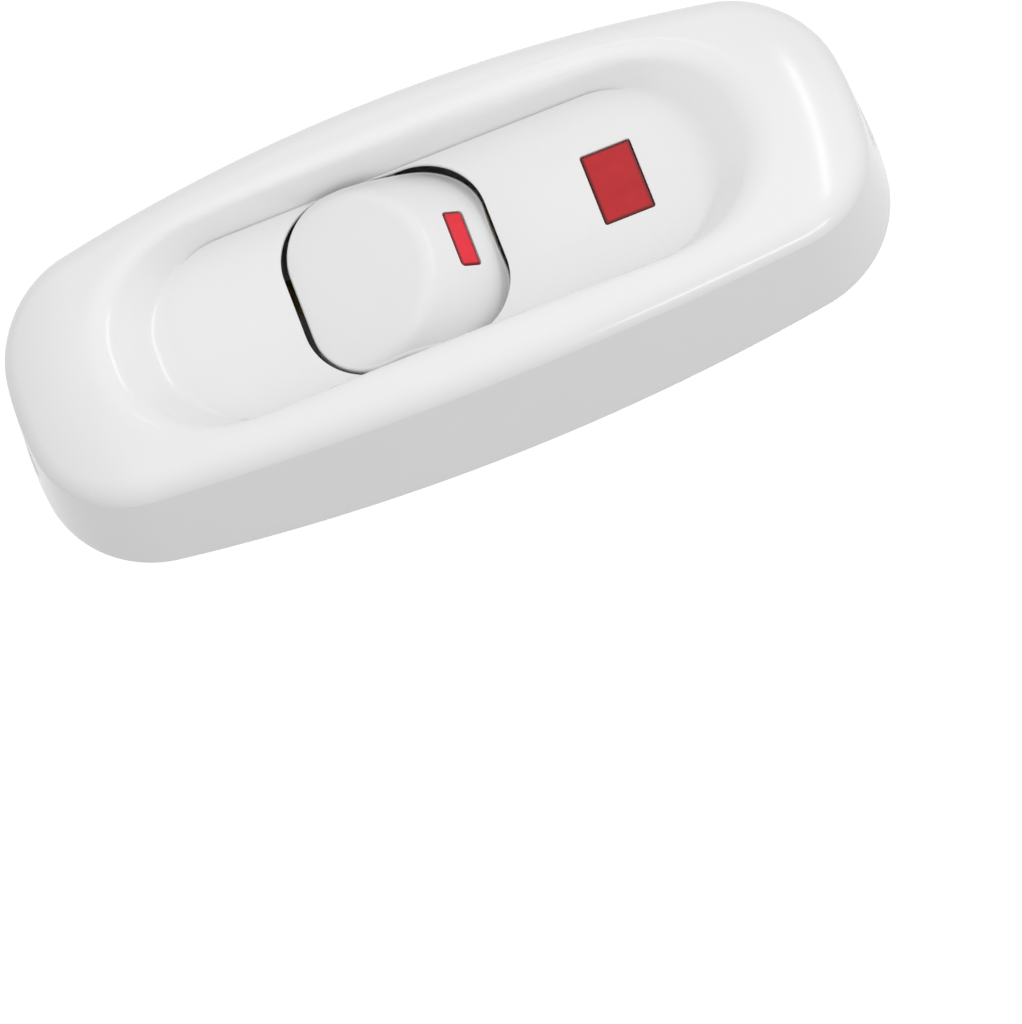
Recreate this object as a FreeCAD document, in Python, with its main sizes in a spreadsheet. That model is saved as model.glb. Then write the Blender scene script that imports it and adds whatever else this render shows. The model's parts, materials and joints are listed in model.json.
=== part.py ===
import FreeCAD, Part
import math
import os
import Sketcher

# Inline cord switch: a white moulded case with a long dished top, a rocker
# button, a red indicator window and the contacts, terminals and lamp inside.
# Frame: origin at the bottom centre, +X along the case towards the window,
# +Y across it, +Z up. Lengths are in millimetres and angles in degrees.

SIZES = {
    # Case outline at the bottom, and its drafted walls
    "case_length": 96.0,
    "case_width": 37.6,
    "side_radius": 240.0,
    "end_radius": 38.0,
    "corner_radius": 13.0,
    "wall_draft": 0.045,
    "wall": 2.2,
    # Crowned top: an arc across the case, swept along a flatter arc
    "rim_height": 20.5,
    "rim_half_span": 12.3,
    "crown_across": 62.0,
    "crown_along": 220.0,
    "shoulder_radius": 3.5,
    # Dish in the top
    "floor_height": 14.3,
    "dish_inset": 17.1,
    "floor_width": 22.0,
    "floor_corner": 8.4,
    "floor_thickness": 2.2,
    "dish_side_slope": 4.2,
    "dish_end_slope": 0.65,
    "mouth_corner": 13.2,
    "rim_radius": 1.8,
    "core_length": 40.0,
    "core_width": 1.7,
    "core_height": 3.4,
    "core_y": 14.15,
    # Rocker, its opening and its pivot
    "rocker_x": -4.35,
    "opening_length": 22.6,
    "opening_width": 21.2,
    "opening_corner": 7.0,
    "rocker_gap": 0.45,
    "pivot_depth": 4.0,
    "rocker_travel": 18.0,
    "face_slope": 20.0,
    "face_radius": 9.9,
    "face_centre_x": -5.5,
    "face_centre_height": 1.13,
    "flank_slope": 38.0,
    "face_edge_radius": 0.7,
    "skirt_depth": 5.9,
    "rocker_sweep": 11.2,
    "rocker_wall": 1.6,
    "rocker_roof": 2.0,
    "trunnion_radius": 1.5,
    "trunnion_clearance": 0.05,
    "trunnion_reach": 2.4,
    "saddle_thickness": 2.0,
    "saddle_width": 7.0,
    "saddle_drop": 2.0,
    "saddle_gap": 0.35,
    "stem_radius": 2.6,
    "stem_drop": 2.9,
    "stem_rise": 5.6,
    "stem_bore": 1.75,
    "bore_rise": 2.2,
    # Flag in the rocker's flank
    "flag_length": 2.4,
    "flag_width": 6.4,
    "flag_depth": 1.2,
    "flag_offset": 7.5,
    # Plunger and spring in the rocker's stem
    "plunger_radius": 1.7,
    "plunger_top": 0.8,
    "plunger_head": 1.6,
    "nose_radius": 1.15,
    "nose_round": 0.9,
    "spring_wire": 0.5,
    "spring_radius": 1.3,
    "spring_pitch": 0.9,
    # Moving contact and the rounded knife edge that it rocks on
    "knife_height": 5.0,
    "knife_width": 5.0,
    "knife_base": 2.6,
    "knife_tip": 0.4,
    "knife_round": 0.3,
    "knife_fit": 0.05,
    "contact_length": 13.0,
    "contact_width": 4.0,
    "contact_thickness": 0.6,
    "contact_tilt": 7.0,
    "contact_clearance": 0.08,
    "tip_radius": 1.2,
    "tip_height": 0.7,
    "tip_offset": 5.2,
    # Base plate
    "base_thickness": 2.0,
    "base_clearance": 0.15,
    "screw_pad": 3.6,
    # Case screws and their bosses
    "boss_inset": 9.0,
    "boss_y": 8.6,
    "boss_radius": 2.8,
    "screw_fit": 0.05,
    "case_shank_radius": 1.2,
    "case_shank_length": 7.0,
    "case_head_radius": 2.3,
    "case_head_height": 1.5,
    "case_head_sink": 1.7,
    "head_clearance": 0.3,
    # Cord inlets and clamps
    "inlet_radius": 3.4,
    "inlet_height": 6.6,
    "inlet_collar": 4.3,
    "inlet_guide": 3.8,
    "clamp_inset": 15.5,
    "clamp_post_y": 6.6,
    "clamp_post_radius": 2.2,
    "clamp_post_height": 7.2,
    "clamp_length": 18.0,
    "clamp_width": 5.0,
    "clamp_thickness": 2.2,
    "clamp_groove": 3.4,
    "clamp_groove_depth": 1.0,
    "grip_height": 1.4,
    "grip_width": 1.2,
    "clamp_shank_radius": 1.1,
    "clamp_shank_length": 6.0,
    "clamp_head_radius": 2.1,
    "clamp_head_height": 1.4,
    # Terminals
    "terminal_inset": 22.0,
    "terminal_y": 6.3,
    "terminal_length": 6.0,
    "terminal_width": 6.4,
    "terminal_height": 6.5,
    "wire_hole_radius": 1.4,
    "wire_hole_height": 2.9,
    "strip_width": 4.0,
    "strip_thickness": 0.8,
    "tab_width": 3.6,
    "tab_end": 2.6,
    "terminal_shank_radius": 1.5,
    "terminal_shank_length": 2.6,
    "terminal_head_radius": 2.5,
    "terminal_head_height": 1.8,
    "slot_width": 0.7,
    "slot_depth": 0.8,
    # Window, lamp and resistor
    "lens_x": 20.7,
    "lens_length": 5.64,
    "lens_width": 8.38,
    "lens_clearance": 0.08,
    "lens_sink": 0.12,
    "lens_flange": 1.3,
    "lens_flange_thickness": 1.0,
    "lamp_radius": 2.1,
    "lamp_length": 9.5,
    "lamp_height": 8.6,
    "lamp_round": 1.4,
    "lamp_clearance": 0.05,
    "cradle_thickness": 1.2,
    "cradle_spacing": 5.6,
    "cradle_width": 5.6,
    "lead_radius": 0.3,
    "lead_bend": 0.9,
    "lead_spread": 1.0,
    "lead_run": 1.3,
    "resistor_x": 9.6,
    "resistor_radius": 1.1,
    "resistor_length": 6.5,
    "resistor_round": 0.5,
    "seat_clearance": 0.02,
}

V = FreeCAD.Vector
doc = FreeCAD.newDocument("inline_cord_switch")
sizes = doc.addObject("Spreadsheet::Sheet", "sizes")
for row, (alias, number) in enumerate(SIZES.items(), start=1):
    sizes.set("A%d" % row, alias)
    sizes.set("B%d" % row, str(number))
    sizes.setAlias("B%d" % row, alias)
doc.recompute()

# Places that several pieces share, as expressions on the sheet
CASE_END = "(sizes.case_length / 2)"
FLOOR_LENGTH = "(sizes.case_length - 2 * sizes.dish_inset)"
BOSS_X = "(%s - sizes.boss_inset)" % CASE_END
CLAMP_X = "(%s - sizes.clamp_inset)" % CASE_END
TERMINAL_X = "(%s - sizes.terminal_inset)" % CASE_END
TERMINAL_END = "(%s + sizes.terminal_length / 2)" % TERMINAL_X
ROOF = "(sizes.floor_height - sizes.floor_thickness)"
PIVOT_Z = "(sizes.floor_height - sizes.pivot_depth)"
HALF_TRAVEL = "(sizes.rocker_travel / 2)"
STRIP_TOP = "(sizes.base_thickness + sizes.strip_thickness)"
BLOCK_TOP = "(sizes.base_thickness + sizes.terminal_height)"
ROCKER_LENGTH = "(sizes.opening_length - 2 * sizes.rocker_gap)"
ROCKER_WIDTH = "(sizes.opening_width - 2 * sizes.rocker_gap)"
ROCKER_CORNER = "(sizes.opening_corner - sizes.rocker_gap)"
SADDLE_Y = "(sizes.opening_width / 2 + sizes.saddle_gap + sizes.saddle_thickness / 2)"
CONTACT_TOP = "(sizes.knife_height + sizes.contact_thickness)"
PLUNGER_REACH = "(%s - %s - sizes.contact_clearance)" % (PIVOT_Z, CONTACT_TOP)
LEAD_Z = "(sizes.base_thickness + sizes.resistor_radius + sizes.seat_clearance)"
CLAMP_TOP = "(sizes.clamp_post_height + sizes.clamp_thickness)"

# Angles that never change: the crown is swept well past both ends of the case
CROWN_SWEEP = 60
LIE_ALONG_Y = 90
HALF_TURN = 180


def value(expression):
    """Work out an expression on the sheet as a plain number."""
    return float(sizes.evalExpression(str(expression)))


def bind(item, **expressions):
    """Bind properties of an object to expressions on the sheet."""
    for name, expression in expressions.items():
        item.setExpression(name, expression)


def place(item, x="0", y="0", z="0", path="Placement"):
    """Bind an object's place, or a sketch's offset, to expressions."""
    for axis, expression in zip("xyz", (x, y, z)):
        item.setExpression("%s.Base.%s" % (path, axis), expression)


def turn(item, angle, axis=V(0, 1, 0)):
    """Turn an object about an axis by an angle bound to the sheet."""
    item.Placement.Rotation = FreeCAD.Rotation(axis, value(angle))
    item.setExpression("Placement.Rotation.Angle", "(%s) * 1 deg" % angle)


def make_body(name):
    """Add an empty body that carries a sub-part."""
    body = doc.addObject("PartDesign::Body", name)
    body.Label = name
    return body


def sketch_on(body, name, role="XY_Plane", x="0", y="0", z="0"):
    """Add a sketch on one of a body's own planes, moved by bound offsets."""
    sketch = body.newObject("Sketcher::SketchObject", name)
    plane = [item for item in body.Origin.OriginFeatures if item.Role == role][0]
    sketch.AttachmentSupport = (plane, [""])
    sketch.MapMode = "FlatFace"
    place(sketch, x, y, z, path="AttachmentOffset")
    return sketch


def limit(sketch, name, expression, kind, *references):
    """Add a dimension to a sketch and bind it to an expression."""
    index = sketch.addConstraint(Sketcher.Constraint(kind, *references, value(expression)))
    sketch.renameConstraint(index, name)
    sketch.setExpression("Constraints." + name, expression)


def tie(sketch, kind, *references):
    """Add a geometric constraint to a sketch."""
    sketch.addConstraint(Sketcher.Constraint(kind, *references))


def arc(centre_x, centre_y, radius, start, end):
    """Make an arc in a sketch's plane between two angles in radians."""
    circle = Part.Circle(V(centre_x, centre_y, 0), V(0, 0, 1), radius)
    return Part.ArcOfCircle(circle, start, end)


def line(x0, y0, x1, y1):
    """Make a straight line in a sketch's plane."""
    return Part.LineSegment(V(x0, y0, 0), V(x1, y1, 0))


def draw_circle(sketch, radius):
    """Draw a circle about the sketch's origin."""
    index = sketch.addGeometry(Part.Circle(V(0, 0, 0), V(0, 0, 1), value(radius)))
    tie(sketch, "Coincident", index, 3, -1, 1)
    limit(sketch, "radius", radius, "Radius", index)


def draw_circles(sketch, span_x, span_y, radius):
    """Draw four equal circles at the corners of a rectangle about the origin."""
    half_x, half_y = value(span_x) / 2, value(span_y) / 2
    for x, y in ((-half_x, -half_y), (half_x, -half_y), (half_x, half_y), (-half_x, half_y)):
        sketch.addGeometry(Part.Circle(V(x, y, 0), V(0, 0, 1), value(radius)))
    tie(sketch, "Symmetric", 0, 3, 2, 3, -1, 1)
    tie(sketch, "Symmetric", 1, 3, 3, 3, -1, 1)
    tie(sketch, "Horizontal", 0, 3, 1, 3)
    tie(sketch, "Vertical", 1, 3, 2, 3)
    for index in (1, 2, 3):
        tie(sketch, "Equal", 0, index)
    limit(sketch, "span_x", span_x, "DistanceX", 0, 3, 1, 3)
    limit(sketch, "span_y", span_y, "DistanceY", 1, 3, 2, 3)
    limit(sketch, "radius", radius, "Radius", 0)


def draw_box(sketch, length, width):
    """Draw a rectangle about the sketch's origin."""
    x, y = value(length) / 2, value(width) / 2
    corners = ((-x, -y), (x, -y), (x, y), (-x, y))
    for index in range(4):
        sketch.addGeometry(line(*corners[index], *corners[(index + 1) % 4]))
    for index in range(4):
        tie(sketch, "Coincident", index, 2, (index + 1) % 4, 1)
        tie(sketch, "Vertical" if index % 2 else "Horizontal", index)
    tie(sketch, "Symmetric", 0, 1, 2, 1, -1, 1)
    limit(sketch, "length", length, "DistanceX", 0, 1, 0, 2)
    limit(sketch, "width", width, "DistanceY", 1, 1, 1, 2)


def draw_rounded_box(sketch, length, width, corner):
    """Draw a rectangle with rounded corners about the sketch's origin."""
    radius = value(corner)
    x, y = value(length) / 2 - radius, value(width) / 2 - radius
    quarter = math.pi / 2
    sides = (line(-x, -y - radius, x, -y - radius), line(x + radius, -y, x + radius, y),
             line(x, y + radius, -x, y + radius), line(-x - radius, y, -x - radius, -y))
    centres = ((x, -y), (x, y), (-x, y), (-x, -y))
    for index, side in enumerate(sides):
        sketch.addGeometry(side)
        start = (index - 1) * quarter
        sketch.addGeometry(arc(*centres[index], radius, start, start + quarter))
    for index in range(8):
        tie(sketch, "Tangent", index, 2, (index + 1) % 8, 1)
    for index in (0, 2, 4, 6):
        tie(sketch, "Vertical" if index % 4 else "Horizontal", index)
    for index in (3, 5, 7):
        tie(sketch, "Equal", 1, index)
    tie(sketch, "Symmetric", 1, 3, 5, 3, -1, 1)
    limit(sketch, "corner", corner, "Radius", 1)
    limit(sketch, "length", "%s - 2 * (%s)" % (length, corner), "DistanceX", 7, 3, 1, 3)
    limit(sketch, "width", "%s - 2 * (%s)" % (width, corner), "DistanceY", 1, 3, 3, 3)


def draw_outline(sketch, inset):
    """Draw the case's barrel-shaped outline: bowed sides and ends joined by corner arcs."""
    half_length = "sizes.case_length / 2 - (%s)" % inset
    half_width = "sizes.case_width / 2 - (%s)" % inset
    side, end, corner = ["sizes.%s_radius - (%s)" % (name, inset) for name in ("side", "end", "corner")]
    side_r, end_r, corner_r = value(side), value(end), value(corner)
    side_y = side_r - value(half_width)
    end_x = value(half_length) - end_r
    # Each corner's centre lies where two circles meet, one about each arc's own centre
    to_side, to_end = side_r - corner_r, end_r - corner_r
    apart = math.hypot(end_x, side_y)
    along = (to_side ** 2 - to_end ** 2 + apart ** 2) / (2 * apart)
    across = math.sqrt(to_side ** 2 - along ** 2)
    corner_x = (along * end_x - across * side_y) / apart
    corner_x = max(corner_x, (along * end_x + across * side_y) / apart)
    corner_y = math.sqrt(to_end ** 2 - (corner_x - end_x) ** 2)
    low = math.atan2(corner_y, corner_x - end_x)
    high = math.atan2(corner_y + side_y, corner_x)
    turn_half = math.pi
    sketch.addGeometry(arc(end_x, 0, end_r, -low, low))
    sketch.addGeometry(arc(corner_x, corner_y, corner_r, low, high))
    sketch.addGeometry(arc(0, -side_y, side_r, high, turn_half - high))
    sketch.addGeometry(arc(-corner_x, corner_y, corner_r, turn_half - high, turn_half - low))
    sketch.addGeometry(arc(-end_x, 0, end_r, turn_half - low, turn_half + low))
    sketch.addGeometry(arc(-corner_x, -corner_y, corner_r, turn_half + low, turn_half + high))
    sketch.addGeometry(arc(0, side_y, side_r, turn_half + high, 2 * turn_half - high))
    sketch.addGeometry(arc(corner_x, -corner_y, corner_r, -high, -low))
    for index in range(8):
        tie(sketch, "Tangent", index, 2, (index + 1) % 8, 1)
    for index, axis in ((0, -1), (2, -2), (4, -1), (6, -2)):
        tie(sketch, "PointOnObject", index, 3, axis)
    for first, others in ((0, (4,)), (2, (6,)), (1, (3, 5, 7))):
        for index in others:
            tie(sketch, "Equal", first, index)
    limit(sketch, "end", end, "Radius", 0)
    limit(sketch, "side", side, "Radius", 2)
    limit(sketch, "corner", corner, "Radius", 1)
    limit(sketch, "right", "%s - (%s)" % (half_length, end), "DistanceX", -1, 1, 0, 3)
    limit(sketch, "left", "%s - (%s)" % (half_length, end), "DistanceX", 4, 3, -1, 1)
    limit(sketch, "back", "%s - (%s)" % (side, half_width), "DistanceY", 2, 3, -1, 1)
    limit(sketch, "front", "%s - (%s)" % (side, half_width), "DistanceY", -1, 1, 6, 3)


def pad(body, sketch, length, middle=False, name="pad"):
    """Raise a sketch along its normal by a bound length."""
    feature = body.newObject("PartDesign::Pad", name)
    feature.Profile = sketch
    feature.Midplane = middle
    bind(feature, Length=length)
    doc.recompute()
    return feature


def pocket(body, sketch, length, upward=False, middle=False, name="pocket"):
    """Cut a sketch into the body, and make sure that it removed something."""
    before = body.Shape.Volume
    feature = body.newObject("PartDesign::Pocket", name)
    feature.Profile = sketch
    feature.Reversed = upward
    feature.Midplane = middle
    bind(feature, Length=length)
    doc.recompute()
    if not body.Shape.Volume < before:
        raise ValueError("%s in %s removes nothing" % (name, body.Name))
    return feature


def round_pad(body, name, radius, height, z="0"):
    """Add a round stud along Z, from a height upwards."""
    sketch = sketch_on(body, name + "_circle", z=z)
    draw_circle(sketch, radius)
    return pad(body, sketch, height, name=name)


def box_pad(body, name, length, width, height, x="0", y="0", z="0"):
    """Add a block with its bottom face centred on a point."""
    sketch = sketch_on(body, name + "_box", x=x, y=y, z=z)
    draw_box(sketch, length, width)
    return pad(body, sketch, height, name=name)


def bore_down(body, name, radius, depth, x="0", y="0", z="0"):
    """Drill a round hole downwards from a point."""
    sketch = sketch_on(body, name + "_circle", x=x, y=y, z=z)
    draw_circle(sketch, radius)
    return pocket(body, sketch, depth, name=name)


def bore_along(body, name, radius, length, x="0", y="0", z="0"):
    """Drill a round hole along X, centred on a point."""
    sketch = sketch_on(body, name + "_circle", "YZ_Plane", x=y, y=z, z=x)
    draw_circle(sketch, radius)
    return pocket(body, sketch, length, middle=True, name=name)


def edges_where(shape, test):
    """Name the edges of a shape whose middle point and edge pass a test."""
    names = []
    for index, edge in enumerate(shape.Edges, start=1):
        middle = edge.valueAt((edge.FirstParameter + edge.LastParameter) / 2)
        if test(middle, edge):
            names.append("Edge%d" % index)
    return names


def fillet(body, name, radius, test):
    """Round the edges of the body's tip that pass a test."""
    tip = body.Tip
    names = edges_where(tip.Shape, test)
    feature = body.newObject("PartDesign::Fillet", name)
    feature.Base = (tip, names)
    bind(feature, Radius=radius)
    doc.recompute()
    return feature


def on_shapes(*shapes):
    """Make a test for edges whose middle lies on every one of the given shapes."""
    near = 1e-4

    def test(middle, edge):
        vertex = Part.Vertex(middle)
        return all(shape.distToShape(vertex)[0] < near for shape in shapes)

    return test


def draw_crown(sketch):
    """Draw the space above the crowned top, with the axis that the crown is swept about."""
    sink = "sqrt(sizes.crown_across^2 - sizes.rim_half_span^2) - sizes.rim_height"
    axis_depth = "sizes.crown_along - sizes.rim_height"
    ceiling = "2 * sizes.rim_height"
    radius, reach, top = value("sizes.crown_across"), value("sizes.case_width"), value(ceiling)
    start = math.acos(reach / radius)
    edge_z = radius * math.sin(start) - value(sink)
    sketch.addGeometry(arc(0, -value(sink), radius, start, math.pi - start))
    sketch.addGeometry(line(-reach, edge_z, -reach, top))
    sketch.addGeometry(line(-reach, top, reach, top))
    sketch.addGeometry(line(reach, top, reach, edge_z))
    sketch.addGeometry(line(-reach, -value(axis_depth), reach, -value(axis_depth)), True)
    for index in range(4):
        tie(sketch, "Coincident", index, 2, (index + 1) % 4, 1)
    tie(sketch, "Vertical", 1)
    tie(sketch, "Vertical", 3)
    tie(sketch, "PointOnObject", 0, 3, -2)
    tie(sketch, "Symmetric", 2, 1, 2, 2, -2)
    tie(sketch, "Symmetric", 4, 1, 4, 2, -2)
    limit(sketch, "across", "sizes.crown_across", "Radius", 0)
    limit(sketch, "sink", sink, "DistanceY", 0, 3, -1, 1)
    limit(sketch, "reach", "2 * sizes.case_width", "DistanceX", 2, 1, 2, 2)
    limit(sketch, "ceiling", ceiling, "DistanceY", -1, 1, 2, 1)
    limit(sketch, "axis_length", "2 * sizes.case_width", "DistanceX", 4, 1, 4, 2)
    limit(sketch, "axis_depth", axis_depth, "DistanceY", 4, 1, -1, 1)


def make_cover():
    """Mould the case: drafted walls, crowned top, dish, openings, bosses and saddles."""
    body = make_body("cover")
    top = "(sizes.rim_height + sizes.shoulder_radius)"
    bottom_outline = sketch_on(body, "bottom_outline")
    draw_outline(bottom_outline, "0")
    top_outline = sketch_on(body, "top_outline", z=top)
    draw_outline(top_outline, "sizes.wall_draft * " + top)
    walls = body.newObject("PartDesign::AdditiveLoft", "drafted_walls")
    walls.Profile = bottom_outline
    walls.Sections = [top_outline]
    walls.Ruled = True
    doc.recompute()

    crown_sketch = sketch_on(body, "crown_profile", "YZ_Plane")
    draw_crown(crown_sketch)
    crown = body.newObject("PartDesign::Groove", "crown")
    crown.Profile = crown_sketch
    crown.ReferenceAxis = (crown_sketch, ["Axis0"])
    crown.Midplane = True
    crown.Angle = CROWN_SWEEP
    doc.recompute()
    fillet(body, "shoulder", "sizes.shoulder_radius", on_shapes(crown.AddSubShape))

    rise = "(%s - sizes.floor_height)" % top
    floor_outline = sketch_on(body, "floor_outline", z="sizes.floor_height")
    draw_rounded_box(floor_outline, FLOOR_LENGTH, "sizes.floor_width", "sizes.floor_corner")
    mouth_outline = sketch_on(body, "mouth_outline", z=top)
    draw_rounded_box(mouth_outline, "%s + 2 * %s / sizes.dish_end_slope" % (FLOOR_LENGTH, rise),
                     "sizes.floor_width + 2 * %s / sizes.dish_side_slope" % rise, "sizes.mouth_corner")
    dish = body.newObject("PartDesign::SubtractiveLoft", "dish")
    dish.Profile = floor_outline
    dish.Sections = [mouth_outline]
    dish.Ruled = True
    doc.recompute()
    fillet(body, "rim", "sizes.rim_radius", on_shapes(crown.AddSubShape, dish.AddSubShape))

    cavity = sketch_on(body, "cavity_outline")
    draw_outline(cavity, "sizes.wall")
    pocket(body, cavity, ROOF, upward=True, name="cavity")
    for side in ("", "-"):
        core = sketch_on(body, "rim_core_box", y=side + "sizes.core_y", z=ROOF)
        draw_box(core, "sizes.core_length", "sizes.core_width")
        pocket(body, core, "sizes.core_height", upward=True, name="rim_core")

    opening = sketch_on(body, "rocker_opening_outline", x="sizes.rocker_x", z="sizes.floor_height")
    draw_rounded_box(opening, "sizes.opening_length", "sizes.opening_width", "sizes.opening_corner")
    pocket(body, opening, "sizes.floor_thickness", name="rocker_opening")
    window = sketch_on(body, "window_outline", x="sizes.lens_x", z="sizes.floor_height")
    draw_box(window, "sizes.lens_length", "sizes.lens_width")
    pocket(body, window, "sizes.floor_thickness", name="window")

    saddle_bottom = "(%s - sizes.saddle_drop)" % PIVOT_Z
    for side in ("", "-"):
        box_pad(body, "saddle", "sizes.saddle_width", "sizes.saddle_thickness",
                "%s - %s" % (ROOF, saddle_bottom), "sizes.rocker_x", side + SADDLE_Y, saddle_bottom)
    notch_radius = "(sizes.trunnion_radius + sizes.trunnion_clearance)"
    notch_span = "2 * %s + 2 * sizes.saddle_thickness" % SADDLE_Y
    notch = sketch_on(body, "notch_circle", "XZ_Plane", "sizes.rocker_x", PIVOT_Z)
    draw_circle(notch, notch_radius)
    pocket(body, notch, notch_span, middle=True, name="notch")
    mouth = sketch_on(body, "notch_mouth_box", "XZ_Plane", "sizes.rocker_x", saddle_bottom)
    draw_box(mouth, "2 * " + notch_radius, "2 * sizes.saddle_drop")
    pocket(body, mouth, notch_span, middle=True, name="notch_mouth")

    bosses = sketch_on(body, "boss_circles", z="sizes.screw_pad")
    draw_circles(bosses, "2 * " + BOSS_X, "2 * sizes.boss_y", "sizes.boss_radius")
    pad(body, bosses, "%s - sizes.screw_pad" % ROOF, name="bosses")
    pilots = sketch_on(body, "pilot_circles", z="sizes.screw_pad")
    draw_circles(pilots, "2 * " + BOSS_X, "2 * sizes.boss_y", "sizes.case_shank_radius + sizes.screw_fit")
    pocket(body, pilots, "sizes.case_shank_length", upward=True, name="pilots")

    inner_end = "(%s - sizes.wall)" % CASE_END
    for side in ("", "-"):
        collar = sketch_on(body, "inlet_collar_circle", "YZ_Plane", y="sizes.inlet_height",
                           z="%s(%s - sizes.inlet_guide / 2)" % (side, inner_end))
        draw_circle(collar, "sizes.inlet_collar")
        pad(body, collar, "sizes.inlet_guide + sizes.wall / 2", middle=True, name="inlet_collar")
    bore_along(body, "cord_inlets", "sizes.inlet_radius", "2 * sizes.case_length", z="sizes.inlet_height")
    return body


def make_base_plate():
    """Mould the bottom lid with its screw pads, clamp posts, grip ribs and lamp cradle."""
    body = make_body("base_plate")
    base_top = "sizes.base_thickness"
    outline = sketch_on(body, "plate_outline")
    draw_outline(outline, "sizes.wall + sizes.base_clearance")
    pad(body, outline, base_top, name="plate")
    pads = sketch_on(body, "screw_pad_circles", z=base_top)
    draw_circles(pads, "2 * " + BOSS_X, "2 * sizes.boss_y", "sizes.boss_radius")
    pad(body, pads, "sizes.screw_pad - sizes.base_thickness", name="screw_pads")
    posts = sketch_on(body, "post_circles", z=base_top)
    draw_circles(posts, "2 * " + CLAMP_X, "2 * sizes.clamp_post_y", "sizes.clamp_post_radius")
    pad(body, posts, "sizes.clamp_post_height - sizes.base_thickness", name="clamp_posts")
    for side in ("", "-"):
        box_pad(body, "grip_rib", "sizes.grip_width", "2 * sizes.inlet_radius", "sizes.grip_height",
                side + CLAMP_X, z=base_top)
    for side in ("+", "-"):
        box_pad(body, "cradle", "sizes.cradle_thickness", "sizes.cradle_width",
                "sizes.lamp_height - sizes.base_thickness",
                "sizes.lens_x %s sizes.cradle_spacing / 2" % side, z=base_top)
    bore_along(body, "lamp_seat", "sizes.lamp_radius + sizes.lamp_clearance",
               "sizes.cradle_spacing + 2 * sizes.cradle_thickness", "sizes.lens_x", z="sizes.lamp_height")
    holes = sketch_on(body, "screw_hole_circles", z="sizes.screw_pad")
    draw_circles(holes, "2 * " + BOSS_X, "2 * sizes.boss_y", "sizes.case_shank_radius + sizes.screw_fit")
    pocket(body, holes, "sizes.screw_pad", name="screw_holes")
    sinks = sketch_on(body, "head_sink_circles")
    draw_circles(sinks, "2 * " + BOSS_X, "2 * sizes.boss_y", "sizes.case_head_radius + sizes.head_clearance")
    pocket(body, sinks, "sizes.case_head_sink", upward=True, name="head_sinks")
    pilots = sketch_on(body, "post_pilot_circles", z="sizes.clamp_post_height")
    draw_circles(pilots, "2 * " + CLAMP_X, "2 * sizes.clamp_post_y",
                 "sizes.clamp_shank_radius + sizes.screw_fit")
    pocket(body, pilots, "sizes.clamp_shank_length - sizes.clamp_thickness + sizes.screw_fit",
           name="post_pilots")
    return body


def make_face_block(name, sink):
    """Make the tilted cone whose flat end is the rocker's finger face and whose side is its flank."""
    body = make_body(name)
    depth = "(2 * sizes.opening_length)"
    wide = "sizes.face_radius + %s * tan(90 - sizes.face_slope - sizes.flank_slope)" % depth
    rim = sketch_on(body, name + "_rim")
    draw_circle(rim, "sizes.face_radius")
    foot = sketch_on(body, name + "_foot", z="-" + depth)
    draw_circle(foot, wide)
    cone = body.newObject("PartDesign::AdditiveLoft", name + "_cone")
    cone.Profile = rim
    cone.Sections = [foot]
    cone.Ruled = True
    doc.recompute()
    near = 0.01
    fillet(body, name + "_edge", "sizes.face_edge_radius", lambda middle, edge: abs(edge.BoundBox.ZMin) < near)
    turn(body, "-sizes.face_slope")
    place(body, "sizes.rocker_x + sizes.face_centre_x + %s * sin(sizes.face_slope)" % sink,
          z="sizes.floor_height + sizes.face_centre_height - %s * cos(sizes.face_slope)" % sink)
    return body


def make_prism(name, inset):
    """Make the rocker's upright outline block, shrunk all round by an inset."""
    body = make_body(name)
    outline = sketch_on(body, name + "_outline", x="sizes.rocker_x", z="sizes.floor_height - sizes.skirt_depth")
    draw_rounded_box(outline, "%s - 2 * (%s)" % (ROCKER_LENGTH, inset),
                     "%s - 2 * (%s)" % (ROCKER_WIDTH, inset), "%s - (%s)" % (ROCKER_CORNER, inset))
    pad(body, outline, "sizes.skirt_depth + sizes.face_radius", name=name + "_block")
    return body


def boolean(kind, name, base, tool):
    """Combine two solids by Part::Cut, Part::Fuse or Part::Common."""
    item = doc.addObject("Part::" + kind, name)
    item.Label = name
    item.Base = base
    item.Tool = tool
    doc.recompute()
    return item


def pivot_cylinder(name, radius, height, along=None, lean=None, x="sizes.rocker_x", y="0", z=PIVOT_Z):
    """Make a cylinder from a point at the pivot, leaning in the XZ plane or turned along Y."""
    item = doc.addObject("Part::Cylinder", name)
    bind(item, Radius=radius, Height=height)
    if along:
        item.Placement.Rotation = FreeCAD.Rotation(V(1, 0, 0), along)
    if lean:
        turn(item, lean)
    place(item, x, y, z)
    doc.recompute()
    return item


def on_stem(height):
    """Give the x and z expressions of a point on the leaning stem, above or below the pivot."""
    return ("sizes.rocker_x - (%s) * sin(%s)" % (height, HALF_TRAVEL),
            "%s + (%s) * cos(%s)" % (PIVOT_Z, height, HALF_TRAVEL))


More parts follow.
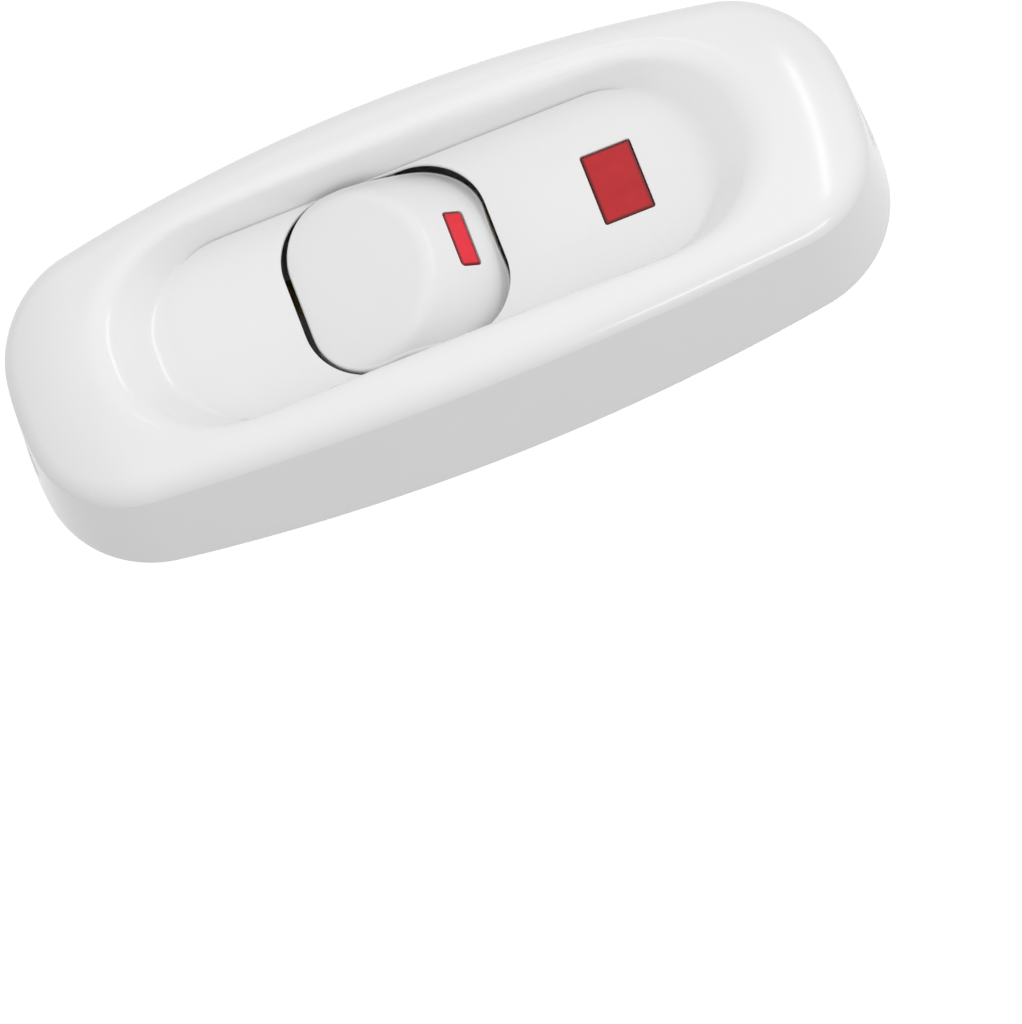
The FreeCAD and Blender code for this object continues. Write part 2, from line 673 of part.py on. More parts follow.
def make_rocker():
    """Mould the rocker button and the flag that is let into its flank."""
    face = make_face_block("face_block", "0")
    skin = boolean("Common", "rocker_skin", make_prism("rocker_prism", "0"), face)
    sweep = pivot_cylinder("rocker_sweep", "sizes.rocker_sweep", "2 * sizes.opening_width", LIE_ALONG_Y,
                           y="sizes.opening_width")
    skin = boolean("Common", "rocker_swept_skin", skin, sweep)
    hollow = boolean("Common", "rocker_hollow", make_prism("hollow_prism", "sizes.rocker_wall"),
                     make_face_block("hollow_block", "sizes.rocker_roof"))
    shell = boolean("Cut", "rocker_shell", skin, hollow)
    foot_x, foot_z = on_stem("-sizes.stem_drop")
    stem = pivot_cylinder("stem", "sizes.stem_radius", "sizes.stem_drop + sizes.stem_rise",
                          lean="-" + HALF_TRAVEL, x=foot_x, z=foot_z)
    shell = boolean("Fuse", "rocker_with_stem", shell, stem)
    stub = "(sizes.rocker_wall + sizes.trunnion_reach)"
    far = pivot_cylinder("far_trunnion", "sizes.trunnion_radius", stub, LIE_ALONG_Y,
                         y="%s / 2 + sizes.trunnion_reach" % ROCKER_WIDTH)
    near = pivot_cylinder("near_trunnion", "sizes.trunnion_radius", stub, LIE_ALONG_Y,
                          y="-%s / 2 + sizes.rocker_wall" % ROCKER_WIDTH)
    shell = boolean("Fuse", "rocker_with_far_trunnion", shell, far)
    shell = boolean("Fuse", "rocker_with_trunnions", shell, near)
    bore = pivot_cylinder("stem_bore", "sizes.stem_bore", "sizes.stem_drop + sizes.bore_rise",
                          lean="-" + HALF_TRAVEL, x=foot_x, z=foot_z)
    shell = boolean("Cut", "rocker_bored", shell, bore)

    block = make_body("flag_block")
    outline = sketch_on(block, "flag_outline")
    draw_box(outline, "sizes.flag_length", "sizes.flag_width")
    pad(block, outline, "2 * sizes.flag_depth", middle=True, name="flag_pad")
    crest_run = "(sizes.flag_offset - sizes.face_centre_x - sizes.face_radius * cos(sizes.face_slope))"
    crest_rise = "(sizes.face_centre_height + sizes.face_radius * sin(sizes.face_slope))"
    turn(block, "sizes.flank_slope")
    place(block, "sizes.rocker_x + sizes.flag_offset",
          z="sizes.floor_height + %s - %s * tan(sizes.flank_slope)" % (crest_rise, crest_run))
    doc.recompute()
    return boolean("Cut", "rocker", shell, block), boolean("Common", "rocker_flag", face, block)


def make_plunger():
    """Turn the plunger that the spring pushes out of the rocker's stem."""
    body = make_body("rocker_plunger")
    shoulder = "(sizes.plunger_top + sizes.plunger_head)"
    round_pad(body, "plunger_nose", "sizes.nose_radius", "%s - %s" % (PLUNGER_REACH, shoulder),
              "-" + PLUNGER_REACH)
    tip = -value(PLUNGER_REACH)
    near = 0.01
    fillet(body, "nose_round", "sizes.nose_round", lambda middle, edge: abs(edge.BoundBox.ZMax - tip) < near)
    round_pad(body, "plunger_head", "sizes.plunger_radius", "sizes.plunger_head", "-" + shoulder)
    turn(body, "-" + HALF_TRAVEL)
    place(body, "sizes.rocker_x", z=PIVOT_Z)
    return body


def make_spring():
    """Wind the coil spring between the plunger's head and the end of the stem's bore."""
    height = value("sizes.plunger_top + sizes.bore_rise - sizes.spring_wire - 2 * sizes.seat_clearance")
    radius, wire = value("sizes.spring_radius"), value("sizes.spring_wire / 2")
    half_turns = round(2 * height / value("sizes.spring_pitch"))
    rise = height / half_turns
    bulge = math.hypot(radius, rise / 2)
    coils = []
    for index in range(half_turns):
        hand = 1 - 2 * (index % 2)
        centre = V(0, 0, (index + 0.5) * rise)
        start = V(hand * radius, 0, index * rise)
        section = Part.Face(Part.Wire([Part.Circle(start, V(0, 1, 0), wire).toShape()]))
        axis = (start - centre).cross(V(0, hand * bulge, 0))
        coils.append(section.revolve(centre, axis, HALF_TURN))
    spring = doc.addObject("Part::Feature", "rocker_spring")
    spring.Label = "rocker_spring"
    spring.Shape = coils[0].multiFuse(coils[1:])
    turn(spring, "-" + HALF_TRAVEL)
    seat_x, seat_z = on_stem("-sizes.plunger_top + sizes.spring_wire / 2 + sizes.seat_clearance")
    place(spring, seat_x, z=seat_z)
    return spring


def make_contact():
    """Stamp the see-saw contact, grooved to sit on the knife edge, and the silver tip under its end."""
    strip = make_body("contact_rocker")
    box_pad(strip, "contact_strip", "sizes.contact_length", "sizes.contact_width", "sizes.contact_thickness")
    groove = sketch_on(strip, "groove_circle", "XZ_Plane")
    draw_circle(groove, "sizes.knife_round + sizes.knife_fit")
    pocket(strip, groove, "2 * sizes.contact_width", middle=True, name="groove")
    tip = make_body("moving_contact_tip")
    sketch = sketch_on(tip, "moving_tip_circle", x="sizes.tip_offset", z="-sizes.tip_height")
    draw_circle(sketch, "sizes.tip_radius")
    pad(tip, sketch, "sizes.tip_height", name="moving_tip")
    for body in (strip, tip):
        turn(body, "sizes.contact_tilt")
        place(body, "sizes.rocker_x", z="sizes.knife_height")
    return strip, tip


def add_terminal_block(body, x, y):
    """Add a clamp block on a terminal strip, with its wire hole and screw hole."""
    box_pad(body, "block", "sizes.terminal_length", "sizes.terminal_width", "sizes.terminal_height",
            x, y, "sizes.base_thickness")
    bore_along(body, "wire_hole", "sizes.wire_hole_radius", "2 * sizes.terminal_length", x, y,
               "sizes.base_thickness + sizes.wire_hole_height")
    bore_down(body, "screw_hole", "sizes.terminal_shank_radius + sizes.screw_fit",
              "sizes.terminal_height - sizes.wire_hole_height", x, y, BLOCK_TOP)


def add_strip(body, start, end, y):
    """Add a flat strip along X on the base plate."""
    box_pad(body, "strip", "%s - (%s)" % (end, start), "sizes.strip_width", "sizes.strip_thickness",
            "(%s + %s) / 2" % (start, end), y, "sizes.base_thickness")


def add_tab(body, x):
    """Add the tab that reaches from a live strip to the middle of the switch."""
    far_edge = "(sizes.terminal_y + sizes.strip_width / 2)"
    box_pad(body, "tab", "sizes.tab_width", "%s + sizes.tab_end" % far_edge, "sizes.strip_thickness",
            x, "(%s - sizes.tab_end) / 2" % far_edge, "sizes.base_thickness")


def make_pivot_terminal():
    """Stamp the live-in terminal, with the knife edge that the contact rocks on."""
    body = make_body("pivot_terminal")
    add_strip(body, "-" + TERMINAL_END, "(sizes.rocker_x + sizes.tab_width / 2)", "sizes.terminal_y")
    add_tab(body, "sizes.rocker_x")
    half_base, half_tip = value("sizes.knife_base / 2"), value("sizes.knife_tip / 2")
    rise = "sizes.knife_height - %s" % STRIP_TOP
    height = value(rise)
    knife = sketch_on(body, "knife_section", "XZ_Plane", "sizes.rocker_x", STRIP_TOP)
    corners = ((-half_base, 0), (half_base, 0), (half_tip, height), (-half_tip, height))
    for index in range(4):
        knife.addGeometry(line(*corners[index], *corners[(index + 1) % 4]))
    for index in range(4):
        tie(knife, "Coincident", index, 2, (index + 1) % 4, 1)
    tie(knife, "Symmetric", 0, 1, 0, 2, -1, 1)
    tie(knife, "Horizontal", 0)
    tie(knife, "Symmetric", 2, 1, 2, 2, -2)
    limit(knife, "base", "sizes.knife_base", "DistanceX", 0, 1, 0, 2)
    limit(knife, "tip", "sizes.knife_tip", "DistanceX", 2, 2, 2, 1)
    limit(knife, "rise", rise, "DistanceY", 0, 2, 2, 1)
    pad(body, knife, "sizes.knife_width", middle=True, name="knife_edge")
    rounding = sketch_on(body, "knife_round_circle", "XZ_Plane", "sizes.rocker_x", "sizes.knife_height")
    draw_circle(rounding, "sizes.knife_round")
    pad(body, rounding, "sizes.knife_width", middle=True, name="knife_round")
    add_terminal_block(body, "-" + TERMINAL_X, "sizes.terminal_y")
    return body


def make_fixed_terminal():
    """Stamp the live-out terminal and the silver tip that the contact meets."""
    body = make_body("fixed_terminal")
    tip_x = "(sizes.rocker_x + sizes.tip_offset)"
    add_strip(body, "(%s - sizes.tab_width / 2)" % tip_x, TERMINAL_END, "sizes.terminal_y")
    add_tab(body, tip_x)
    add_terminal_block(body, TERMINAL_X, "sizes.terminal_y")
    tip = make_body("fixed_contact_tip")
    sketch = sketch_on(tip, "fixed_tip_circle", x=tip_x, z=STRIP_TOP)
    draw_circle(sketch, "sizes.tip_radius")
    moving_tip_low = ("sizes.knife_height - (sizes.tip_offset + sizes.tip_radius) * sin(sizes.contact_tilt)"
                      " - sizes.tip_height * cos(sizes.contact_tilt)")
    pad(tip, sketch, "%s - sizes.contact_clearance - %s" % (moving_tip_low, STRIP_TOP), name="fixed_tip")
    return body, tip


def make_neutral_bar():
    """Stamp the through bar that joins the two neutral wires."""
    body = make_body("neutral_bar")
    add_strip(body, "-" + TERMINAL_END, TERMINAL_END, "-sizes.terminal_y")
    for side in ("", "-"):
        add_terminal_block(body, side + TERMINAL_X, "-sizes.terminal_y")
    return body


def make_screw(name, kind, x, y, z, overturned=False, crossed=False):
    """Turn a screw whose head sits on a point, with a slot or a cross in the head."""
    body = make_body(name)
    radius, height = "sizes.%s_head_radius" % kind, "sizes.%s_head_height" % kind
    round_pad(body, "head", radius, height)
    length = "sizes.%s_shank_length" % kind
    round_pad(body, "shank", "sizes.%s_shank_radius" % kind, length, "-" + length)
    slot = sketch_on(body, "slot_box", z=height)
    draw_box(slot, radius if crossed else "3 * " + radius, "sizes.slot_width")
    pocket(body, slot, "sizes.slot_depth", name="slot")
    if crossed:
        cross = sketch_on(body, "cross_box", z=height)
        draw_box(cross, "sizes.slot_width", radius)
        pocket(body, cross, "sizes.slot_depth", name="cross")
    if overturned:
        body.Placement.Rotation = FreeCAD.Rotation(V(1, 0, 0), HALF_TURN)
    place(body, x, y, z)
    return body


def make_clamp(name, side):
    """Mould one cord clamp bar, with the groove that presses on the cord."""
    body = make_body(name)
    x = side + CLAMP_X
    box_pad(body, "bar", "sizes.clamp_width", "sizes.clamp_length", "sizes.clamp_thickness", x,
            z="sizes.clamp_post_height")
    groove_z = "sizes.clamp_post_height + sizes.clamp_groove_depth - sizes.clamp_groove"
    bore_along(body, "groove", "sizes.clamp_groove", "2 * sizes.clamp_width", x, z=groove_z)
    for hand in ("", "-"):
        bore_down(body, "screw_hole", "sizes.clamp_shank_radius + sizes.screw_fit", "sizes.clamp_thickness",
                  x, hand + "sizes.clamp_post_y", CLAMP_TOP)
    return body


def make_lens():
    """Mould the red window with the flange that holds it under the dish floor."""
    body = make_body("indicator_lens")
    bottom = "(%s - sizes.lens_flange_thickness)" % ROOF
    box_pad(body, "flange", "sizes.lens_length + 2 * sizes.lens_flange",
            "sizes.lens_width + 2 * sizes.lens_flange", "sizes.lens_flange_thickness", "sizes.lens_x", z=bottom)
    box_pad(body, "window_pane", "sizes.lens_length - 2 * sizes.lens_clearance",
            "sizes.lens_width - 2 * sizes.lens_clearance",
            "sizes.floor_thickness - sizes.lens_sink", "sizes.lens_x", z=ROOF)
    return body


def make_rod(name, radius, length, rounding, x, y, z):
    """Make a round rod along X with rounded ends."""
    body = make_body(name)
    sketch = sketch_on(body, name + "_circle", "YZ_Plane", x=y, y=z, z=x)
    draw_circle(sketch, radius)
    pad(body, sketch, length, middle=True, name=name + "_rod")
    fillet(body, name + "_ends", rounding, lambda middle, edge: isinstance(edge.Curve, Part.Circle))
    return body


def make_lead(name, points):
    """Bend a round wire through points, each a triple of expressions, with arcs at its corners."""
    spots = [V(*[value(expression) for expression in point]) for point in points]
    radius, bend = value("sizes.lead_radius"), value("sizes.lead_bend")
    edges = []
    start = spots[0]
    for before, corner, after in zip(spots, spots[1:], spots[2:]):
        inward, onward = (before - corner).normalize(), (after - corner).normalize()
        first, last = corner + inward * bend, corner + onward * bend
        middle = corner + (inward + onward) * bend * (1 - math.sqrt(0.5))
        edges.append(Part.LineSegment(start, first).toShape())
        edges.append(Part.Arc(first, middle, last).toShape())
        start = last
    edges.append(Part.LineSegment(start, spots[-1]).toShape())
    path = Part.Wire(edges)
    section = Part.Wire([Part.Circle(spots[0], spots[1] - spots[0], radius).toShape()])
    solid = path.makePipeShell([section], True, True)
    expected = math.pi * radius ** 2 * path.Length
    tolerance = 0.01
    if abs(solid.Volume - expected) > tolerance * expected:
        raise ValueError("%s does not follow its path" % name)
    lead = doc.addObject("Part::Feature", name)
    lead.Label = name
    lead.Shape = solid
    return lead


def make_leads():
    """Bend the lamp's two leads and the resistor's own lead."""
    lamp_end = "(sizes.lens_x - sizes.lamp_length / 2)"
    resistor_right = "(sizes.resistor_x + sizes.resistor_length / 2)"
    resistor_left = "(sizes.resistor_x - sizes.resistor_length / 2)"
    bend_x = "(%s - sizes.lead_run)" % lamp_end
    spread = "sizes.lead_spread"
    neutral_x = "(%s - sizes.lead_run)" % resistor_left
    live = make_lead("lamp_lead_live", [
        (lamp_end, spread, "sizes.lamp_height"), (bend_x, spread, "sizes.lamp_height"),
        (bend_x, "sizes.terminal_y", "sizes.lamp_height"), (bend_x, "sizes.terminal_y", STRIP_TOP)])
    link = make_lead("lamp_lead_link", [
        (lamp_end, "-" + spread, "sizes.lamp_height"), (bend_x, "-" + spread, "sizes.lamp_height"),
        (bend_x, "-" + spread, LEAD_Z), (resistor_right, "-" + spread, LEAD_Z)])
    neutral = make_lead("resistor_lead_neutral", [
        (resistor_left, "-" + spread, LEAD_Z), (neutral_x, "-" + spread, LEAD_Z),
        (neutral_x, "-sizes.terminal_y", LEAD_Z)])
    return live, link, neutral


def make_all():
    """Make every sub-part, in the order in which the switch is put together."""
    pieces = [make_cover(), make_base_plate(), *make_rocker(), make_plunger(), make_spring()]
    pieces += [*make_contact(), make_pivot_terminal(), *make_fixed_terminal(), make_neutral_bar()]
    for name, x, y in (("live_in_screw", "-", ""), ("live_out_screw", "", ""),
                       ("neutral_screw_left", "-", "-"), ("neutral_screw_right", "", "-")):
        pieces.append(make_screw(name, "terminal", x + TERMINAL_X, y + "sizes.terminal_y", BLOCK_TOP))
    for hand, x in (("left", "-"), ("right", "")):
        pieces.append(make_clamp("cord_clamp_" + hand, x))
        for depth, y in (("front", "-"), ("back", "")):
            pieces.append(make_screw("clamp_screw_%s_%s" % (hand, depth), "clamp", x + CLAMP_X,
                                     y + "sizes.clamp_post_y", CLAMP_TOP))
            pieces.append(make_screw("case_screw_%s_%s" % (hand, depth), "case", x + BOSS_X,
                                     y + "sizes.boss_y", "sizes.case_head_sink", True, True))
    pieces.append(make_lens())
    pieces.append(make_rod("neon_lamp", "sizes.lamp_radius", "sizes.lamp_length", "sizes.lamp_round",
                           "sizes.lens_x", "0", "sizes.lamp_height"))
    pieces.append(make_rod("series_resistor", "sizes.resistor_radius", "sizes.resistor_length",
                           "sizes.resistor_round", "sizes.resistor_x", "-sizes.lead_spread", LEAD_Z))
    pieces += make_leads()
    return pieces


def write_parts(pieces):
    """Check the whole document, then write each sub-part to its own file."""
    doc.recompute()
    for item in doc.Objects:
        if "Invalid" in item.State or "Error" in item.State:
            raise ValueError("%s failed to build: %s" % (item.Name, item.State))
    for piece in pieces:
        if piece.Shape.isNull() or not piece.Shape.isValid() or not piece.Shape.Solids:
            raise ValueError("%s is not a valid solid" % piece.Label)
    os.makedirs("parts", exist_ok=True)
    for piece in pieces:
        piece.Shape.exportStep("parts/%s.step" % piece.Label)


write_parts(make_all())
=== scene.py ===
import json
import logging
import math
from collections.abc import Callable
from dataclasses import dataclass, field
from enum import Enum

import bmesh
import bpy
import numpy as np
from mathutils import Matrix, Vector
from mathutils.geometry import tessellate_polygon


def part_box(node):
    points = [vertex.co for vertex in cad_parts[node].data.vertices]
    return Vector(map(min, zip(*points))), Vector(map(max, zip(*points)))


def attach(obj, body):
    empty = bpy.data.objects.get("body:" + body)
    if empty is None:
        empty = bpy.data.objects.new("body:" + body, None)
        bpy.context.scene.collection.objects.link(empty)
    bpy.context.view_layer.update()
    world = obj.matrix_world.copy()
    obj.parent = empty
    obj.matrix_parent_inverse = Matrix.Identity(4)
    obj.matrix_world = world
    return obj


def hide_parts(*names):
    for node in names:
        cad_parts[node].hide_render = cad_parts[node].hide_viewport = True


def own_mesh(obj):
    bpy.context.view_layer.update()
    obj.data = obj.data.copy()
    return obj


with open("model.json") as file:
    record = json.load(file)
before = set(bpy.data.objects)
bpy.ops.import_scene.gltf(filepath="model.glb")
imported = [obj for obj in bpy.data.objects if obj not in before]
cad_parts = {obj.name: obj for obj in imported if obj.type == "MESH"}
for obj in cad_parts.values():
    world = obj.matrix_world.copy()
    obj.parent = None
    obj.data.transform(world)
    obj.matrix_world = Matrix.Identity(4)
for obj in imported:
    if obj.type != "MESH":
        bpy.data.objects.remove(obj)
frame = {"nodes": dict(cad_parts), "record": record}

# Inline cord switch: a white moulded case with a long dished top, a rocker
# button with a red flag and a red window. Lengths are in millimetres unless a
# name says otherwise, and meshes are written in metres.

MM = 0.001
RIGHT_ANGLE = math.pi / 2
LOG = logging.getLogger("cord_switch")
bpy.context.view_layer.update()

# Finished meshes: points nearer than the first are merged and edges shorter than
# the second taken out; edges that turn by more than the third stay sharp.
MERGE_METRES = 2e-7
SLIVER_METRES = 1e-7
SHARP_DEGREES = 40.0

# Height fields: a margin for solving, half the distance that a slope is taken
# over, and the blend of two fields that rounds with about a radius of 1.
HAIR = 1e-6
SLOPE_STEP = 1e-3
BLEND_PER_RADIUS = 3.4


class Body(Enum):
    """Rigid bodies that the pieces ride on."""

    CASE = "case"
    ROCKER = "rocker"


class Slot(Enum):
    """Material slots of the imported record."""

    CASE = "white_case"
    ROCKER = "white_rocker"
    FLAG = "red_flag"
    LENS = "red_lens"
    NYLON = "nylon"
    BRASS = "brass"
    SILVER = "silver"
    GLASS = "lamp_glass"
    RESISTOR = "resistor_body"
    WIRE = "tinned_wire"
    STEEL = "plated_steel"


@dataclass(frozen=True)
class PaintedEdgeShade:
    """Painted shade: a darker colour along the edges of an oblong piece, standing in for the shade that
    falls in the gap round it.
    """

    centre: tuple[float, float]
    half: tuple[float, float]
    colour: tuple[float, float, float]
    band: float = 0.3
    fade: float = 0.08


class NodeBoard:
    """Adds nodes to a material's tree and links them."""

    RAMP_ENDS = (0.3, 0.7)
    # Places of the colour sockets on a Mix node, whose names are not unique.
    MIX_FACTOR, MIX_FIRST, MIX_SECOND, MIX_RESULT = 0, 6, 7, 2

    def __init__(self, name: str) -> None:
        """Start a material with an empty tree.

        Args:
            name: Name of the material.
        """
        self.material = bpy.data.materials.new(name)
        self.material.use_nodes = True
        self.tree = self.material.node_tree
        self.tree.nodes.clear()
        self.coordinates = self.tree.nodes.new("ShaderNodeTexCoord").outputs["Object"]

    def add(self, kind: str, **inputs: object) -> bpy.types.Node:
        """Add a node and set or link its inputs.

        Args:
            kind: Blender's name of the node type.
            inputs: Values or output sockets by input name, with _ for a space.

        Returns:
            The new node.
        """
        node = self.tree.nodes.new(kind)
        for name, given in inputs.items():
            self.feed(node.inputs[name.replace("_", " ")], given)
        return node

    def feed(self, socket: bpy.types.NodeSocket, given: object) -> None:
        """Link an output to a socket, or set the socket's value.

        Args:
            socket: Input that is fed.
            given: Output socket or plain value.
        """
        if isinstance(given, bpy.types.NodeSocket):
            self.tree.links.new(given, socket)
        else:
            socket.default_value = given

    def noise(self, size_mm: float, detail: float = 3.0) -> bpy.types.NodeSocket:
        """Make a noise whose lumps are about a given size across.

        Args:
            size_mm: Size of a lump in millimetres.
            detail: Number of finer layers.

        Returns:
            The noise's value output.
        """
        scale = 1.0 / (size_mm * MM)
        node = self.add("ShaderNodeTexNoise", Vector=self.coordinates, Scale=scale, Detail=detail)
        return node.outputs["Fac"]

    def between(self, factor: bpy.types.NodeSocket, low: tuple[float, float, float],
                high: tuple[float, float, float]) -> bpy.types.NodeSocket:
        """Mix two colours by a factor.

        Args:
            factor: Output that runs from 0 to 1.
            low: Colour at 0, linear red, green and blue.
            high: Colour at 1.

        Returns:
            The mixed colour output.
        """
        node = self.add("ShaderNodeValToRGB", Fac=factor)
        for stop, position, colour in zip(node.color_ramp.elements, self.RAMP_ENDS, (low, high)):
            stop.position = position
            stop.color = (*colour, 1.0)
        return node.outputs["Color"]

    def spread(self, factor: bpy.types.NodeSocket, low: float, high: float) -> bpy.types.NodeSocket:
        """Turn a factor into a number between two limits.

        Args:
            factor: Output that runs from 0 to 1.
            low: Result at 0.
            high: Result at 1.

        Returns:
            The number output.
        """
        node = self.add("ShaderNodeMapRange", Value=factor, To_Min=low, To_Max=high)
        return node.outputs["Result"]

    def bump(self, height: bpy.types.NodeSocket, depth_mm: float) -> bpy.types.NodeSocket:
        """Make a bumped normal from a height.

        Args:
            height: Output that runs from 0 to 1.
            depth_mm: Depth of the bumps in millimetres.

        Returns:
            The normal output.
        """
        return self.add("ShaderNodeBump", Height=height, Distance=depth_mm * MM).outputs["Normal"]

    def sum(self, operation: str, first: object, second: object = 0.0) -> bpy.types.NodeSocket:
        """Add a Math node and give its output.

        Args:
            operation: Blender's name of the operation.
            first: Socket or number.
            second: Socket or number, where the operation takes two.

        Returns:
            The result's output.
        """
        node = self.tree.nodes.new("ShaderNodeMath")
        node.operation = operation
        self.feed(node.inputs[0], first)
        self.feed(node.inputs[1], second)
        return node.outputs[0]

    def with_painted_edge_shade(self, colour: bpy.types.NodeSocket, edge_shade: PaintedEdgeShade) -> bpy.types.NodeSocket:
        """Paint shade into a colour along the edges of an oblong piece, where the gap round it lies in
        shade.

        Args:
            colour: Colour of the middle.
            edge_shade: Place, size and colour of the painted edge shade.

        Returns:
            The colour with its painted edge shade.
        """
        place = self.add("ShaderNodeSeparateXYZ", Vector=self.coordinates).outputs
        past = []
        for axis in (0, 1):
            away = self.sum("ABSOLUTE", self.sum("SUBTRACT", place[axis], edge_shade.centre[axis] * MM))
            past.append(self.sum("SUBTRACT", away, (edge_shade.half[axis] - edge_shade.band) * MM))
        share = self.add("ShaderNodeMapRange", Value=self.sum("MAXIMUM", *past),
                         From_Min=-edge_shade.fade * MM, From_Max=edge_shade.fade * MM)
        mix = self.tree.nodes.new("ShaderNodeMix")
        mix.data_type = "RGBA"
        self.feed(mix.inputs[self.MIX_FACTOR], share.outputs["Result"])
        self.feed(mix.inputs[self.MIX_FIRST], colour)
        self.feed(mix.inputs[self.MIX_SECOND], (*edge_shade.colour, 1.0))
        return mix.outputs[self.MIX_RESULT]

    def finish(self, shader: bpy.types.Node) -> bpy.types.Material:
        """Send a shader to the material's output and give the material."""
        self.add("ShaderNodeOutputMaterial", Surface=shader.outputs[0])
        return self.material


@dataclass(frozen=True)
class MouldedPlastic:
    """Glossy or satin moulded plastic with faint mottling, a fine moulded grain and, where given,
    painted shade along its edges.
    """

    name: str
    colour: tuple[float, float, float]
    mottle: tuple[float, float, float]
    gloss: tuple[float, float] = (0.16, 0.22)
    mottle_size: float = 9.0
    gloss_patches: float = 3.0
    grain_size: float = 0.35
    grain_depth: float = 0.0012
    # Painted shade along the edges: a darker band that stands in for the shade of the gap round the
    # piece.
    edge_shade: PaintedEdgeShade | None = None

    def build(self) -> bpy.types.Material:
        """Make the material.

        Returns:
            The new material.
        """
        board = NodeBoard(self.name)
        grain = board.noise(self.grain_size)
        colour = board.between(board.noise(self.mottle_size), self.colour, self.mottle)
        # Paint the shade of the surrounding gap into the colour along the edges.
        if self.edge_shade:
            colour = board.with_painted_edge_shade(colour, self.edge_shade)
        shader = board.add(
            "ShaderNodeBsdfPrincipled",
            Base_Color=colour,
            Roughness=board.spread(board.noise(self.mottle_size / self.gloss_patches), *self.gloss),
            Normal=board.bump(grain, self.grain_depth),
        )
        return board.finish(shader)


@dataclass(frozen=True)
class WorkedMetal:
    """Stamped or plated metal with fine drawn streaks."""

    name: str
    colour: tuple[float, float, float]
    tarnish: tuple[float, float, float]
    gloss: tuple[float, float] = (0.22, 0.4)
    tarnish_size: float = 3.0
    streak: tuple[float, float, float] = (0.25, 2.2, 2.2)
    streak_detail: float = 4.0
    streak_depth: float = 0.004

    def build(self) -> bpy.types.Material:
        """Make the material.

        Returns:
            The new material.
        """
        board = NodeBoard(self.name)
        mapping = board.add("ShaderNodeMapping", Vector=board.coordinates, Scale=self.streak)
        noise = board.add("ShaderNodeTexNoise", Vector=mapping.outputs["Vector"], Scale=1.0 / MM,
                          Detail=self.streak_detail)
        streaks = noise.outputs["Fac"]
        shader = board.add(
            "ShaderNodeBsdfPrincipled",
            Base_Color=board.between(board.noise(self.tarnish_size), self.colour, self.tarnish),
            Roughness=board.spread(streaks, *self.gloss),
            Normal=board.bump(streaks, self.streak_depth),
            Metallic=1.0,
        )
        return board.finish(shader)


@dataclass(frozen=True)
class LampGlass:
    """Clear glass of the glow lamp, with faint draw marks."""

    name: str
    tint: tuple[float, float, float]
    thickened: tuple[float, float, float]
    gloss: tuple[float, float] = (0.02, 0.08)
    wave_size: float = 1.2
    clearness: float = 0.9
    bending: float = 1.48

    def build(self) -> bpy.types.Material:
        """Make the material.

        Returns:
            The new material.
        """
        board = NodeBoard(self.name)
        waves = board.noise(self.wave_size)
        shader = board.add(
            "ShaderNodeBsdfPrincipled",
            Base_Color=board.between(waves, self.tint, self.thickened),
            Roughness=board.spread(waves, *self.gloss),
            Transmission_Weight=self.clearness,
            IOR=self.bending,
        )
        return board.finish(shader)


FINISHES = {
    Slot.CASE: MouldedPlastic("case_white_gloss", (0.83, 0.83, 0.83), (0.82, 0.82, 0.822)),
    Slot.ROCKER: MouldedPlastic("rocker_white", (0.82, 0.82, 0.82), (0.81, 0.81, 0.812),
                                gloss=(0.26, 0.33)),
    # The flag's darker red edge is painted shade, standing in for the shade in the gap round it.
    Slot.FLAG: MouldedPlastic("flag_red", (0.82, 0.008, 0.03), (0.78, 0.006, 0.026),
                              gloss=(0.3, 0.4), mottle_size=1.5,
                              edge_shade=PaintedEdgeShade((3.35, 0.0), (0.93, 3.2), (0.25, 0.002, 0.012), band=0.2)),
    # The window's darker red edge is painted shade, standing in for the shade in the gap round it.
    Slot.LENS: MouldedPlastic("window_red", (0.53, 0.003, 0.01), (0.46, 0.002, 0.006),
                              gloss=(0.2, 0.3), mottle_size=2.0,
                              edge_shade=PaintedEdgeShade((20.7, 0.0), (2.74, 4.11), (0.18, 0.001, 0.004))),
    Slot.NYLON: MouldedPlastic("nylon_natural", (0.72, 0.7, 0.64), (0.68, 0.66, 0.6),
                               gloss=(0.4, 0.5)),
    Slot.BRASS: WorkedMetal("brass_stamped", (0.72, 0.5, 0.2), (0.64, 0.43, 0.17)),
    Slot.SILVER: WorkedMetal("contact_silver", (0.82, 0.81, 0.78), (0.74, 0.73, 0.7)),
    Slot.GLASS: LampGlass("lamp_glass", (0.95, 0.93, 0.9), (0.92, 0.9, 0.86)),
    Slot.RESISTOR: MouldedPlastic("resistor_lacquer", (0.55, 0.44, 0.28), (0.5, 0.4, 0.25),
                                  gloss=(0.4, 0.5)),
    Slot.WIRE: WorkedMetal("tinned_copper", (0.7, 0.69, 0.67), (0.62, 0.61, 0.59)),
    Slot.STEEL: WorkedMetal("zinc_plated_steel", (0.66, 0.66, 0.65), (0.58, 0.58, 0.59)),
}


class Wardrobe:
    """Builds each finish once and hands it out by slot."""

    def __init__(self) -> None:
        """Build every finish."""
        self.materials = {slot: finish.build() for slot, finish in FINISHES.items()}

    def dress(self, piece: bpy.types.Object, slot: Slot) -> None:
        """Give a piece the finish of a slot.

        Args:
            piece: Mesh object of the piece or of a CAD node.
            slot: Material slot of the record.
        """
        piece.data.materials.clear()
        piece.data.materials.append(self.materials[slot])


